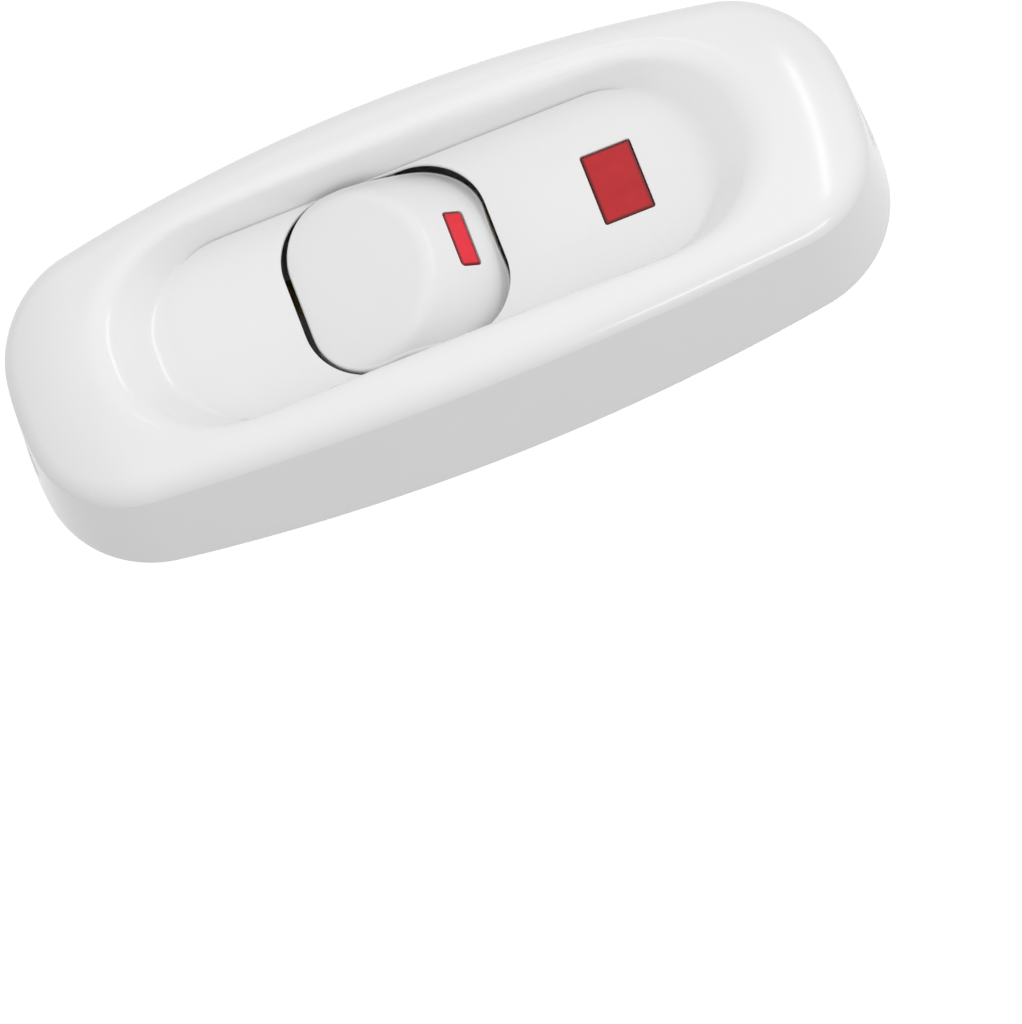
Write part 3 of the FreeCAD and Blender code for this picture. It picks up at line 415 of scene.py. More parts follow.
class Shell:
    """Collects points in millimetres and faces, and turns them into a mesh object in metres."""

    def __init__(self) -> None:
        """Start with no points and no faces."""
        self.points: list[tuple[float, float, float]] = []
        self.faces: list[tuple[int, ...]] = []

    def loop(self, points: np.ndarray) -> list[int]:
        """Add a row of points.

        Args:
            points: Array of points, one row each.

        Returns:
            The new points' numbers.
        """
        start = len(self.points)
        self.points.extend(tuple(map(float, point)) for point in points)
        return list(range(start, len(self.points)))

    def bridge(self, first: list[int], second: list[int]) -> None:
        """Join two closed loops of equal length with quads.

        Args:
            first: Numbers of one loop's points.
            second: Numbers of the other loop's points.
        """
        for index in range(len(first)):
            after = (index + 1) % len(first)
            self.faces.append((first[index], first[after], second[after], second[index]))

    def bridge_all(self, loops: list[list[int]]) -> None:
        """Join each loop to the next one."""
        for first, second in zip(loops, loops[1:]):
            self.bridge(first, second)

    def cap(self, loop: list[int], point: tuple[float, float, float]) -> None:
        """Close a loop with a fan about a point.

        Args:
            loop: Numbers of the loop's points.
            point: Point that the fan meets in.
        """
        centre = self.loop(np.array([point]))[0]
        for index in range(len(loop)):
            self.faces.append((loop[index], loop[(index + 1) % len(loop)], centre))

    def fill(self, outer: list[int], holes: list[list[int]]) -> None:
        """Fill a flat loop, leaving holes in it.

        Args:
            outer: Loop round the flat face.
            holes: Loops round its holes.
        """
        loops = [outer, *holes]
        numbers = [number for loop in loops for number in loop]
        lines = [[Vector(self.points[number]) for number in loop] for loop in loops]
        for triangle in tessellate_polygon(lines):
            self.faces.append(tuple(numbers[corner] for corner in triangle))

    def lathe(self, profile: list[tuple[float, float]], place: Matrix, steps: int = 40) -> None:
        """Turn a closed profile of (radius, height) points about an axis.

        Args:
            profile: Points round the section; a radius of 0 lies on the axis.
            place: Matrix that carries the axis from +Z to its place, in millimetres.
            steps: Number of steps round the axis.
        """
        angles = np.arange(steps) * 2 * math.pi / steps
        loops = []
        for radius, height in profile:
            ring = [place @ Vector((radius * math.cos(angle), radius * math.sin(angle), height))
                    for angle in angles]
            loops.append(self.loop(np.array(ring)))
        self.bridge_all([*loops, loops[0]])

    def extrude(self, section: list[tuple[float, float]], low: float, high: float) -> None:
        """Extrude a section of (x, z) points along Y between two places.

        Args:
            section: Points round the section.
            low: Place of its near end.
            high: Place of its far end.
        """
        near = self.loop(np.array([(x, low, z) for x, z in section]))
        far = self.loop(np.array([(x, high, z) for x, z in section]))
        self.bridge(near, far)
        self.fill(near, [])
        self.fill(far, [])

    def piece(self, name: str, sharp_degrees: float = SHARP_DEGREES) -> bpy.types.Object:
        """Make the mesh object, smooth but for edges over an angle.

        Args:
            name: Name of the piece.
            sharp_degrees: Edges that turn by more than this stay sharp.

        Returns:
            The new object, at the origin.
        """
        mesh = bpy.data.meshes.new(name)
        mesh.from_pydata((np.array(self.points) * MM).tolist(), [], self.faces)
        return finish_mesh(mesh, name, sharp_degrees)


def finish_mesh(mesh: bpy.types.Mesh, name: str, sharp_degrees: float) -> bpy.types.Object:
    """Merge doubles, turn the faces outwards, shade smooth and link an object.

    Args:
        mesh: Mesh in metres, in the shared frame.
        name: Name of the piece.
        sharp_degrees: Edges that turn by more than this stay sharp.

    Returns:
        The new object, at the origin.
    """
    work = bmesh.new()
    work.from_mesh(mesh)
    bmesh.ops.remove_doubles(work, verts=work.verts, dist=MERGE_METRES)
    bmesh.ops.dissolve_degenerate(work, edges=work.edges, dist=SLIVER_METRES)
    bmesh.ops.recalc_face_normals(work, faces=work.faces)
    work.to_mesh(mesh)
    work.free()
    mesh.shade_smooth()
    mesh.set_sharp_from_angle(angle=math.radians(sharp_degrees))
    piece = bpy.data.objects.new(name, mesh)
    bpy.context.scene.collection.objects.link(piece)
    return piece


def settled_mesh(holder: bpy.types.Object) -> bpy.types.Mesh:
    """Give an object's mesh as its modifiers leave it.

    Args:
        holder: Object with its modifiers.

    Returns:
        The new plain mesh.
    """
    bpy.context.view_layer.update()
    depsgraph = bpy.context.evaluated_depsgraph_get()
    return bpy.data.meshes.new_from_object(holder.evaluated_get(depsgraph))


def carve(piece: bpy.types.Object, cutter: bpy.types.Object, sharp_degrees: float) -> None:
    """Cut a cutter out of a piece and delete the cutter.

    Args:
        piece: Object that keeps its name and gets the carved mesh.
        cutter: Closed object that is cut away.
        sharp_degrees: Edges that turn by more than this stay sharp.
    """
    cut = piece.modifiers.new("carve", "BOOLEAN")
    cut.operation = "DIFFERENCE"
    cut.solver = "EXACT"
    cut.object = cutter
    carved = settled_mesh(piece)
    piece.modifiers.remove(cut)
    piece.data = carved
    carved.name = piece.name
    carved.shade_smooth()
    carved.set_sharp_from_angle(angle=math.radians(sharp_degrees))
    bpy.data.objects.remove(cutter)


def join(piece: bpy.types.Object, other: bpy.types.Object) -> None:
    """Add another object's mesh to a piece and delete that object.

    Args:
        piece: Object that keeps its name.
        other: Object whose closed shells are added.
    """
    work = bmesh.new()
    work.from_mesh(piece.data)
    work.from_mesh(other.data)
    work.to_mesh(piece.data)
    work.free()
    bpy.data.objects.remove(other)


def quarter_turn(steps: int) -> np.ndarray:
    """Give the angles from 0 to a right angle, both included."""
    return np.linspace(0, RIGHT_ANGLE, steps + 1)


def rounded_box(half_x: float, half_y: float, corner: float, steps: int,
                centre_x: float = 0.0) -> np.ndarray:
    """Give the outline of a rectangle with rounded corners.

    Args:
        half_x: Half its length.
        half_y: Half its width.
        corner: Radius of its corners.
        steps: Steps round each corner; each straight side gets as many.
        centre_x: Place of its centre along X.

    Returns:
        Points in the plane, anticlockwise, without the last one doubled.
    """
    signs = ((1, 1), (-1, 1), (-1, -1), (1, -1))
    runs = []
    for number, (sign_x, sign_y) in enumerate(signs):
        angles = quarter_turn(steps) + number * RIGHT_ANGLE
        runs.append(np.stack([sign_x * (half_x - corner) + corner * np.cos(angles),
                              sign_y * (half_y - corner) + corner * np.sin(angles)], axis=1))
    outline = []
    for run, after in zip(runs, runs[1:] + runs[:1]):
        outline.append(run)
        share = np.linspace(0, 1, steps + 1)[1:-1, None]
        outline.append(run[-1] * (1 - share) + after[0] * share)
    return np.concatenate(outline) + (centre_x, 0.0)


def at_height(points: np.ndarray, height: float | np.ndarray) -> np.ndarray:
    """Give points in the plane a height."""
    return np.column_stack([points, np.broadcast_to(height, len(points))])


def soft_max(first: np.ndarray, second: np.ndarray, blend: np.ndarray | float) -> np.ndarray:
    """Take the larger of two fields, rounded where they are within a blend of each other.

    Args:
        first: One field.
        second: The other field.
        blend: Difference below which the two are rounded into one.

    Returns:
        The joined field.
    """
    share = np.clip(1 - np.abs(first - second) / blend, 0, None)
    return np.maximum(first, second) + share ** 2 * blend / 4


def solve(function: Callable[[np.ndarray], np.ndarray], low: np.ndarray, high: np.ndarray,
          rounds: int = 44) -> np.ndarray:
    """Find where a rising function crosses zero, point by point.

    Args:
        function: Takes an array and gives an array.
        low: Array of places where the function is below zero.
        high: Array of places where it is above zero.
        rounds: Number of halvings.

    Returns:
        The array of crossings.
    """
    low, high = np.array(low, float), np.array(high, float)
    for _ in range(rounds):
        middle = (low + high) / 2
        below = function(middle) < 0
        low, high = np.where(below, middle, low), np.where(below, high, middle)
    return (low + high) / 2


def slope_of(function: Callable[[np.ndarray, np.ndarray], np.ndarray], x: np.ndarray,
             y: np.ndarray) -> tuple[np.ndarray, np.ndarray]:
    """Give a height field's slopes along X and Y.

    Args:
        function: Height field that takes arrays of x and y.
        x: Places along X.
        y: Places along Y.

    Returns:
        The slopes along X and along Y.
    """
    step = SLOPE_STEP
    return ((function(x + step, y) - function(x - step, y)) / (2 * step),
            (function(x, y + step) - function(x, y - step)) / (2 * step))


@dataclass
class CaseOutline:
    """Barrel-shaped plan of the case: bowed sides and ends joined by corner arcs."""

    length: float = 96.0
    width: float = 37.6
    side_radius: float = 240.0
    end_radius: float = 38.0
    corner_radius: float = 13.0
    end_steps: int = 24
    corner_steps: int = 40
    side_steps: int = 80

    def __post_init__(self) -> None:
        """Lay out the eight arcs as centre, radius, angles and steps."""
        side_y = self.side_radius - self.width / 2
        end_x = self.length / 2 - self.end_radius
        to_side, to_end = self.side_radius - self.corner_radius, self.end_radius - self.corner_radius
        apart = math.hypot(end_x, side_y)
        along = (to_side ** 2 - to_end ** 2 + apart ** 2) / (2 * apart)
        across = math.sqrt(to_side ** 2 - along ** 2)
        corner_x = (along * end_x + across * side_y) / apart
        corner_y = math.sqrt(to_end ** 2 - (corner_x - end_x) ** 2)
        low = math.atan2(corner_y, corner_x - end_x)
        high = math.atan2(corner_y + side_y, corner_x)
        half_turn, turn = math.pi, 2 * math.pi
        end, corner, side = self.end_steps, self.corner_steps, self.side_steps
        self.arcs = [
            ((end_x, 0), self.end_radius, -low, low, end),
            ((corner_x, corner_y), self.corner_radius, low, high, corner),
            ((0, -side_y), self.side_radius, high, half_turn - high, side),
            ((-corner_x, corner_y), self.corner_radius, half_turn - high, half_turn - low, corner),
            ((-end_x, 0), self.end_radius, half_turn - low, half_turn + low, end),
            ((-corner_x, -corner_y), self.corner_radius, half_turn + low, half_turn + high, corner),
            ((0, side_y), self.side_radius, half_turn + high, turn - high, side),
            ((corner_x, -corner_y), self.corner_radius, turn - high, turn - low, corner),
        ]
        self.count = 2 * end + 4 * corner + 2 * side

    def ring(self, inset: float | np.ndarray = 0.0) -> tuple[np.ndarray, np.ndarray]:
        """Sample the outline, moved inwards.

        Args:
            inset: Distance inwards, one number or one for each point.

        Returns:
            The points and their outward normals, both in the plane.
        """
        points, normals = [], []
        for centre, radius, start, end, steps in self.arcs:
            angles = start + (end - start) * np.arange(steps) / steps
            turned = np.stack([np.cos(angles), np.sin(angles)], axis=1)
            points.append(np.array(centre) + radius * turned)
            normals.append(turned)
        normal = np.concatenate(normals)
        inward = normal * np.broadcast_to(inset, self.count)[:, None]
        return np.concatenate(points) - inward, normal

    def quarter(self) -> np.ndarray:
        """Give the numbers of the points from the middle of the +X end to the middle of the +Y side."""
        last = self.end_steps + self.corner_steps + self.side_steps // 2
        return np.arange(self.end_steps // 2, last + 1)

    def mirrored(self, quarter_points: np.ndarray) -> np.ndarray:
        """Spread points that belong to the first quarter over the whole outline.

        Args:
            quarter_points: One point in the plane for each number in the quarter.

        Returns:
            One point for each point of the outline.
        """
        whole = np.zeros((self.count, 2))
        for number, (x, y) in zip(self.quarter(), quarter_points):
            over = (self.end_steps - number) % self.count
            across = (self.count // 2 + self.end_steps - number) % self.count
            both = (self.end_steps - across) % self.count
            whole[number], whole[over] = (x, y), (x, -y)
            whole[across], whole[both] = (-x, y), (-x, -y)
        return whole


@dataclass
class Cover:
    """The moulded case with its dished top, openings, bosses, saddles and cord inlets."""

    outline: CaseOutline = field(default_factory=CaseOutline)
    draft: float = 0.07
    wall: float = 2.2
    foot_round: float = 0.35
    rim_height: float = 20.5
    rim_half_span: float = 12.3
    crown_across: float = 62.0
    crown_along: float = 220.0
    end_fall: float = 0.03
    end_fall_start: float = 38.2
    shoulder: float = 3.8
    shoulder_edge: float = 0.7
    shoulder_knee: float = 163.0
    shoulder_reach: float = 9.0
    side_rim_round: float = 1.2
    end_rim_round: float = 5.2
    least_blend: float = 0.02
    rim_drop: float = 4.0
    floor: float = 14.3
    floor_half_length: float = 30.3
    floor_half_width: float = 10.8
    floor_corner: float = 9.8
    floor_thickness: float = 2.2
    side_slope: float = 4.5
    end_slope: float = 0.75
    side_crease: float = 0.05
    gutter_width: float = 0.2
    gutter_depth: float = 0.26
    gutter_fade: float = 4.0
    end_crease: float = 1.0
    flat_half_length: float = 25.8
    flat_half_width: float = 10.6
    flat_corner: float = 6.4
    flat_even_share: float = 0.12
    dish_rings: int = 96
    dish_samples: int = 320
    bend_weight: float = 1.6
    rocker_x: float = -4.35
    opening: tuple[float, float, float] = (11.3, 10.44, 7.0)
    opening_steps: int = 24
    window_x: float = 20.7
    window: tuple[float, float, float] = (2.82, 4.19, 0.28)
    window_steps: int = 6
    edge_round: float = 0.14
    edge_steps: int = 4
    lip: float = 0.5
    undercut: float = 0.9
    inlet_radius: float = 3.4
    inlet_height: float = 6.6
    inlet_round: float = 0.5
    inlet_steps: int = 5
    inlet_rings: tuple[float, ...] = (0.34, 0.67, 1.0)
    inlet_margin: int = 2
    outer_rows: tuple[float, float, int] = (1.5, 11.7, 11)
    inner_rows: tuple[float, float, int] = (1.0, 11.7, 11)
    collar_radius: float = 4.3
    collar_end: float = 42.0
    boss_x: float = 39.0
    boss_y: float = 8.6
    boss_radius: float = 2.8
    pilot_radius: float = 1.25
    boss_foot: float = 3.6
    pilot_end: float = 10.6
    saddle_y: tuple[float, float] = (10.95, 12.95)
    saddle_half_width: float = 3.5
    pivot_height: float = 10.3
    saddle_drop: float = 2.0
    notch_radius: float = 1.55
    notch_steps: int = 16
    sharp_degrees: float = 50.0

    @property
    def roof(self) -> float:
        """Height of the cavity's roof."""
        return self.floor - self.floor_thickness

    def crown(self, x: np.ndarray, y: np.ndarray) -> np.ndarray:
        """Give the height of the crowned top, falling away at the ends, before the dish is cut.

        Args:
            x: Places along X.
            y: Places along Y.

        Returns:
            The heights.
        """
        sunk = self.rim_height - math.sqrt(self.crown_across ** 2 - self.rim_half_span ** 2)
        axis = self.rim_height - self.crown_along
        across = sunk + np.sqrt(self.crown_across ** 2 - y ** 2)
        outward = np.abs(x) + y ** 2 / (2 * self.outline.end_radius)
        fall = self.end_fall * np.maximum(outward - self.end_fall_start, 0) ** 2
        return axis + np.sqrt((across - axis) ** 2 - x ** 2) - fall

    def past_floor(self, x: np.ndarray, y: np.ndarray) -> tuple[np.ndarray, np.ndarray]:
        """Measure how far places lie outside the floor's outline, and how far they face an end.

        Args:
            x: Places along X.
            y: Places along Y.

        Returns:
            The distances, and shares that run from 0 beside the floor to 1 beyond its ends.
        """
        past_x = np.abs(x) - (self.floor_half_length - self.floor_corner)
        past_y = np.abs(y) - (self.floor_half_width - self.floor_corner)
        out_x, out_y = np.maximum(past_x, 0), np.maximum(past_y, 0)
        reach = np.hypot(out_x, out_y)
        inside = np.minimum(np.maximum(past_x, past_y), 0)
        return reach + inside - self.floor_corner, (out_x / np.maximum(reach, HAIR)) ** 2

    def dish(self, x: np.ndarray, y: np.ndarray) -> np.ndarray:
        """Give the height of the dish's wall, steep along the sides and easy at the ends.

        Args:
            x: Places along X.
            y: Places along Y.

        Returns:
            The heights.
        """
        distance, end_share = self.past_floor(x, y)
        run = 1 / self.side_slope + (1 / self.end_slope - 1 / self.side_slope) * end_share
        return self.floor + distance / run

    def top(self, x: np.ndarray, y: np.ndarray) -> np.ndarray:
        """Give the finished height of the rim, the dish wall and the floor.

        Args:
            x: Places along X.
            y: Places along Y.

        Returns:
            The heights.
        """
        crown, dish = self.crown(x, y), self.dish(x, y)
        crown_x, crown_y = slope_of(self.crown, x, y)
        dish_x, dish_y = slope_of(self.dish, x, y)
        crown_lean = 1 / np.sqrt(1 + crown_x ** 2 + crown_y ** 2)
        dish_lean = 1 / np.sqrt(1 + dish_x ** 2 + dish_y ** 2)
        between = (1 + crown_x * dish_x + crown_y * dish_y) * crown_lean * dish_lean
        half_turn = np.arccos(np.clip(between, -1, 1)) / 2
        end_share = self.past_floor(x, y)[1]
        rounding = self.side_rim_round + (self.end_rim_round - self.side_rim_round) * end_share ** 2
        blend = BLEND_PER_RADIUS * rounding * (1 / np.cos(half_turn) - 1)
        blend = np.maximum(blend, self.least_blend)

        def above(height: np.ndarray) -> np.ndarray:
            """Measure how far heights lie above the rounded rim."""
            return soft_max((height - crown) * crown_lean, (height - dish) * dish_lean, blend)

        lower = np.minimum(crown, dish)
        rim = solve(above, lower - self.rim_drop, lower + HAIR)
        crease = self.side_crease + (self.end_crease - self.side_crease) * end_share
        return soft_max(rim, np.full_like(rim, self.floor), crease) - self.gutter(x, y)

    def gutter(self, x: np.ndarray, y: np.ndarray) -> np.ndarray:
        """Give the depth of the fine groove along the foot of the side walls, fading at the ends.

        Args:
            x: Places along X.
            y: Places along Y.

        Returns:
            The depths.
        """
        distance, end_share = self.past_floor(x, y)
        across = 2 * distance / self.gutter_width + 1
        kept = np.maximum(1 - self.gutter_fade * end_share, 0)
        return self.gutter_depth * np.maximum(1 - across ** 2, 0) * kept

    def shoulder_arc(self, steps: int = 24, tight_stride: int = 3) -> tuple[np.ndarray, np.ndarray]:
        """Find the rounding between the drafted wall and the crown, tight at the wall and wide above.

        Args:
            steps: Number of steps along the wide part of the rounding.
            tight_stride: The tight part has fewer steps by this factor.

        Returns:
            Distances inwards from the bottom outline and heights, each with one
            row for each step and one column for each point of the outline.
        """
        points, normal = self.outline.ring()

        def crown_at(inward: np.ndarray) -> np.ndarray:
            """Give the crown's height at distances inwards."""
            place = points - normal * inward[:, None]
            return self.crown(place[:, 0], place[:, 1])

        def climb(inward: np.ndarray) -> np.ndarray:
            """Give the crown's slope inwards."""
            return (crown_at(inward + SLOPE_STEP) - crown_at(inward - SLOPE_STEP)) / (2 * SLOPE_STEP)

        lean = math.hypot(1, self.draft)
        knee = math.radians(self.shoulder_knee)
        apart = self.shoulder - self.shoulder_edge

        def centre_at(inward: np.ndarray) -> tuple[np.ndarray, np.ndarray]:
            """Give the centre of the wide arc that touches the crown at distances inwards.

            Args:
                inward: Distances inwards.

            Returns:
                The centres' distances inwards and heights.
            """
            rise = climb(inward)
            length = np.hypot(1, rise)
            return inward + self.shoulder * rise / length, crown_at(inward) - self.shoulder / length

        def clear(inward: np.ndarray) -> np.ndarray:
            """Measure the room between the tight arc and the wall.

            Args:
                inward: Distances inwards at which the wide arc touches the crown.

            Returns:
                The room, below zero where the arc cuts the wall.
            """
            centre, height = centre_at(inward)
            edge, edge_height = centre + apart * math.cos(knee), height + apart * math.sin(knee)
            return (edge - self.draft * edge_height) / lean - self.shoulder_edge

        count = self.outline.count
        touch = solve(clear, np.zeros(count), np.full(count, self.shoulder_reach))
        centre, height = centre_at(touch)
        start, end = math.atan2(self.draft, -1), np.arctan2(1, -climb(touch))
        share = np.linspace(0, 1, steps + 1)[:, None]
        tight = start + (knee - start) * share[::tight_stride]
        wide = knee + (end - knee) * share[1:]
        inward = [centre + apart * math.cos(knee) + self.shoulder_edge * np.cos(tight),
                  centre + self.shoulder * np.cos(wide)]
        rise = [height + apart * math.sin(knee) + self.shoulder_edge * np.sin(tight),
                height + self.shoulder * np.sin(wide)]
        return np.concatenate(inward), np.concatenate(rise)

    def flat_ring(self) -> np.ndarray:
        """Give the edge of the dish's flat floor, matched to the outline point by point.

        Returns:
            Points in the plane, one for each point of the outline.
        """
        numbers = self.outline.quarter()[::-1]
        rim = self.outline.ring(self.shoulder)[0][numbers]
        along = np.concatenate([[0], np.cumsum(np.hypot(*np.diff(rim, axis=0).T))])
        a, b, r = self.flat_half_length, self.flat_half_width, self.flat_corner
        reach = (a - r) + r * RIGHT_ANGLE + (b - r)
        even = self.flat_even_share
        share = np.clip((along / along[-1] - even) / (1 - even), 0, 1)
        spot = along - (along[-1] - reach) * share ** 2 * (3 - 2 * share)
        angle = np.clip((spot - (a - r)) / r, 0, RIGHT_ANGLE)
        x = np.minimum(spot, a - r) + r * np.sin(angle)
        y = b - r + r * np.cos(angle) - np.maximum(spot - (a - r) - r * RIGHT_ANGLE, 0)
        return self.outline.mirrored(np.stack([x, y], axis=1)[::-1])

    def dish_grid(self, rim: np.ndarray) -> np.ndarray:
        """Lay rings from the shoulder over the rim and down into the dish.

        Args:
            rim: Points in the plane where the shoulder's rounding ends.

        Returns:
            Array of rings, each an array of points, ending on the flat floor.
        """
        flat = self.flat_ring()
        fine = np.linspace(0, 1, self.dish_samples)
        plan = rim[None] + (flat - rim)[None] * fine[:, None, None]
        height = self.top(plan[..., 0], plan[..., 1])
        path = np.concatenate([plan, height[..., None]], axis=2)
        step = np.diff(path, axis=0)
        length = np.linalg.norm(step, axis=2)
        heading = step / length[..., None]
        bend = np.arccos(np.clip((heading[1:] * heading[:-1]).sum(axis=2), -1, 1))
        weight = length + self.bend_weight * np.concatenate([bend[:1], bend])
        travel = np.concatenate([np.zeros((1, self.outline.count)), np.cumsum(weight, axis=0)])
        wanted = np.linspace(0, 1, self.dish_rings + 1)
        share = np.stack([np.interp(wanted * travel[-1, i], travel[:, i], fine)
                          for i in range(self.outline.count)], axis=1)
        plan = rim[None] + (flat - rim)[None] * share[..., None]
        return np.concatenate([plan, self.top(plan[..., 0], plan[..., 1])[..., None]], axis=2)

    def wall_loops(self, shell: Shell, heights: np.ndarray, inset: float,
                   drafted: bool) -> list[list[int]]:
        """Add level rings of the outer or inner wall.

        Args:
            shell: Shell that gets the points.
            heights: Heights of the rings.
            inset: Distance of the wall inwards from the bottom outline.
            drafted: Whether the wall leans inwards with height.

        Returns:
            The rings, from the first height to the last.
        """
        loops = []
        for height in heights:
            lean = self.draft * height if drafted else 0.0
            loops.append(shell.loop(at_height(self.outline.ring(inset + lean)[0], height)))
        return loops

    def pierced_wall(self, shell: Shell, loops: list[list[int]], radius: float, inset: float,
                     drafted: bool) -> list[list[int]]:
        """Join wall rings with quads, leaving a round hole at each end for the cord.

        Args:
            shell: Shell that holds the rings.
            loops: Wall rings; the hole lies between the second and the last but one.
            radius: Radius of the hole.
            inset: Distance of the wall inwards from the bottom outline.
            drafted: Whether the wall leans inwards with height.

        Returns:
            The hole's loop at the +X end and at the -X end.
        """
        outline, count, margin = self.outline, self.outline.count, self.inlet_margin
        width = outline.end_steps - 2 * margin
        holes, skipped = [], set()
        low, high = 1, len(loops) - 2
        for sign, start in ((1, margin), (-1, count // 2 + margin)):
            columns = [(start + step) % count for step in range(width + 1)]
            skipped |= {(row, column) for row in range(low, high) for column in columns[:-1]}
            edge = [loops[low][column] for column in columns]
            edge += [loops[row][columns[-1]] for row in range(low + 1, high + 1)]
            edge += [loops[high][column] for column in columns[-2::-1]]
            edge += [loops[row][columns[0]] for row in range(high - 1, low, -1)]
            corners = np.array([shell.points[number] for number in edge])
            angles = np.arctan2(corners[:, 2] - self.inlet_height, corners[:, 1])
            rings = [edge]
            for share in self.inlet_rings:
                y = corners[:, 1] * (1 - share) + radius * np.cos(angles) * share
                z = corners[:, 2] * (1 - share) + (self.inlet_height + radius * np.sin(angles)) * share
                depth = inset + (self.draft * z if drafted else 0.0)
                reach = outline.end_radius - depth
                x = outline.length / 2 - outline.end_radius + np.sqrt(reach ** 2 - y ** 2)
                rings.append(shell.loop(np.stack([sign * x, y, z], axis=1)))
            shell.bridge_all(rings)
            holes.append(rings[-1])
        for row in range(len(loops) - 1):
            for column in range(count):
                if (row, column) not in skipped:
                    after = (column + 1) % count
                    shell.faces.append((loops[row][column], loops[row][after],
                                        loops[row + 1][after], loops[row + 1][column]))
        return holes

    def add_inlets(self, shell: Shell, outer: list[list[int]], inner: list[list[int]]) -> None:
        """Line the cord inlets from the outer wall to the collars inside.

        Args:
            shell: Shell of the case.
            outer: Loops of the holes in the outer wall, +X end first.
            inner: Loops of the collars on the inner wall, +X end first.
        """
        for sign, mouth, collar in zip((1, -1), outer, inner):
            edge = np.array([shell.points[number] for number in mouth])
            angles = np.arctan2(edge[:, 2] - self.inlet_height, edge[:, 1])
            rows = []
            for turn in quarter_turn(self.inlet_steps)[1:]:
                radius = self.inlet_radius + self.inlet_round * (1 - math.sin(turn))
                rows.append((radius, edge[:, 0] - sign * self.inlet_round * (1 - math.cos(turn))))
            end = np.full(len(edge), sign * self.collar_end)
            rows += [(self.inlet_radius, end), (self.collar_radius, end)]
            loops = [mouth]
            for radius, x in rows:
                y, z = radius * np.cos(angles), self.inlet_height + radius * np.sin(angles)
                loops.append(shell.loop(np.column_stack([x, y, z])))
            backs = np.array([shell.points[number] for number in collar])
            turned = np.argsort(np.arctan2(backs[:, 2] - self.inlet_height, backs[:, 1]))
            order = np.argsort(np.argsort(angles))
            loops.append([collar[turned[place]] for place in order])
            shell.bridge_all(loops)

    def opening_loops(self, shell: Shell, half_sizes: tuple[float, float, float], centre_x: float,
                      steps: int, undercut: float = 0.0) -> list[list[int]]:
        """Add the rounded edge, the thin lip and the upright wall of an opening in the floor.

        Args:
            shell: Shell of the case.
            half_sizes: Half length, half width and corner radius.
            centre_x: Place of the opening along X.
            steps: Steps round each corner.
            undercut: Distance that the wall stands back under the lip.

        Returns:
            The loops from the floor down to the roof of the cavity.
        """
        half_x, half_y, corner = half_sizes
        rows = []
        for turn in quarter_turn(self.edge_steps):
            height = self.floor - self.edge_round * (1 - math.cos(turn))
            rows.append((self.edge_round * (1 - math.sin(turn)), height))
        lip = self.floor - self.lip
        rows += [(0.0, lip), (undercut, lip), (undercut, self.roof)]
        loops = []
        for out, height in rows:
            outline = rounded_box(half_x + out, half_y + out, corner + out, steps, centre_x)
            loops.append(shell.loop(at_height(outline, height)))
        shell.bridge_all(loops)
        return loops

    def add_fittings(self, shell: Shell) -> None:
        """Add the screw bosses and the saddles that carry the rocker's trunnions.

        Args:
            shell: Shell of the case.
        """
        for x in (-self.boss_x, self.boss_x):
            for y in (-self.boss_y, self.boss_y):
                profile = [(self.boss_radius, self.boss_foot), (self.boss_radius, self.roof),
                           (0.0, self.roof), (0.0, self.pilot_end), (self.pilot_radius, self.pilot_end),
                           (self.pilot_radius, self.boss_foot)]
                shell.lathe(profile, Matrix.Translation((x, y, 0)))
        bottom = self.pivot_height - self.saddle_drop
        notch = [(self.rocker_x + self.notch_radius * math.cos(angle),
                  self.pivot_height + self.notch_radius * math.sin(angle))
                 for angle in np.linspace(0, math.pi, self.notch_steps + 1)]
        left, right = self.rocker_x - self.saddle_half_width, self.rocker_x + self.saddle_half_width
        section = [(right, bottom), (right, self.roof), (left, self.roof), (left, bottom),
                   (notch[-1][0], bottom), *notch[::-1], (notch[0][0], bottom)]
        low, high = self.saddle_y
        shell.extrude(section, low, high)
        shell.extrude(section, -high, -low)

    def build(self) -> bpy.types.Object:
        """Make the case's mesh as one closed wall with its bosses and saddles.

        Returns:
            The object of the case.
        """
        shell = Shell()
        foot = []
        for turn in quarter_turn(self.edge_steps)[:-1]:
            height = self.foot_round * (1 - math.sin(RIGHT_ANGLE - turn))
            inset = self.foot_round * (1 - math.sin(turn))
            foot.append(shell.loop(at_height(self.outline.ring(inset)[0], height)))
        inward, height = self.shoulder_arc()
        rows = np.concatenate([[self.foot_round], np.linspace(*self.outer_rows)])
        wall = self.wall_loops(shell, rows, 0.0, True)
        points, normal = self.outline.ring()
        arc = [shell.loop(np.column_stack([points - normal * inset[:, None], level]))
               for inset, level in zip(inward, height)]
        mouth_radius = self.inlet_radius + self.inlet_round
        mouths = self.pierced_wall(shell, [*wall, arc[0]], mouth_radius, 0.0, True)
        shell.bridge_all([*foot, wall[0]])
        shell.bridge_all(arc)
        rim = points - normal * inward[-1][:, None]
        rings = self.dish_grid(rim)
        dish = [arc[-1]] + [shell.loop(ring) for ring in rings[1:-1]]
        dish.append(shell.loop(at_height(rings[-1][:, :2], self.floor)))
        shell.bridge_all(dish)
        rocker_hole = self.opening_loops(shell, self.opening, self.rocker_x, self.opening_steps,
                                         self.undercut)
        window_hole = self.opening_loops(shell, self.window, self.window_x, self.window_steps)
        shell.fill(dish[-1], [rocker_hole[0], window_hole[0]])
        rows = np.concatenate([[0.0], np.linspace(*self.inner_rows), [self.roof]])
        inside = self.wall_loops(shell, rows, self.wall, False)
        collars = self.pierced_wall(shell, inside, self.collar_radius, self.wall, False)
        self.add_inlets(shell, mouths, collars)
        shell.bridge(foot[0], inside[0])
        shell.fill(inside[-1], [rocker_hole[-1], window_hole[-1]])
        self.add_fittings(shell)
        return shell.piece("case_shell", self.sharp_degrees)


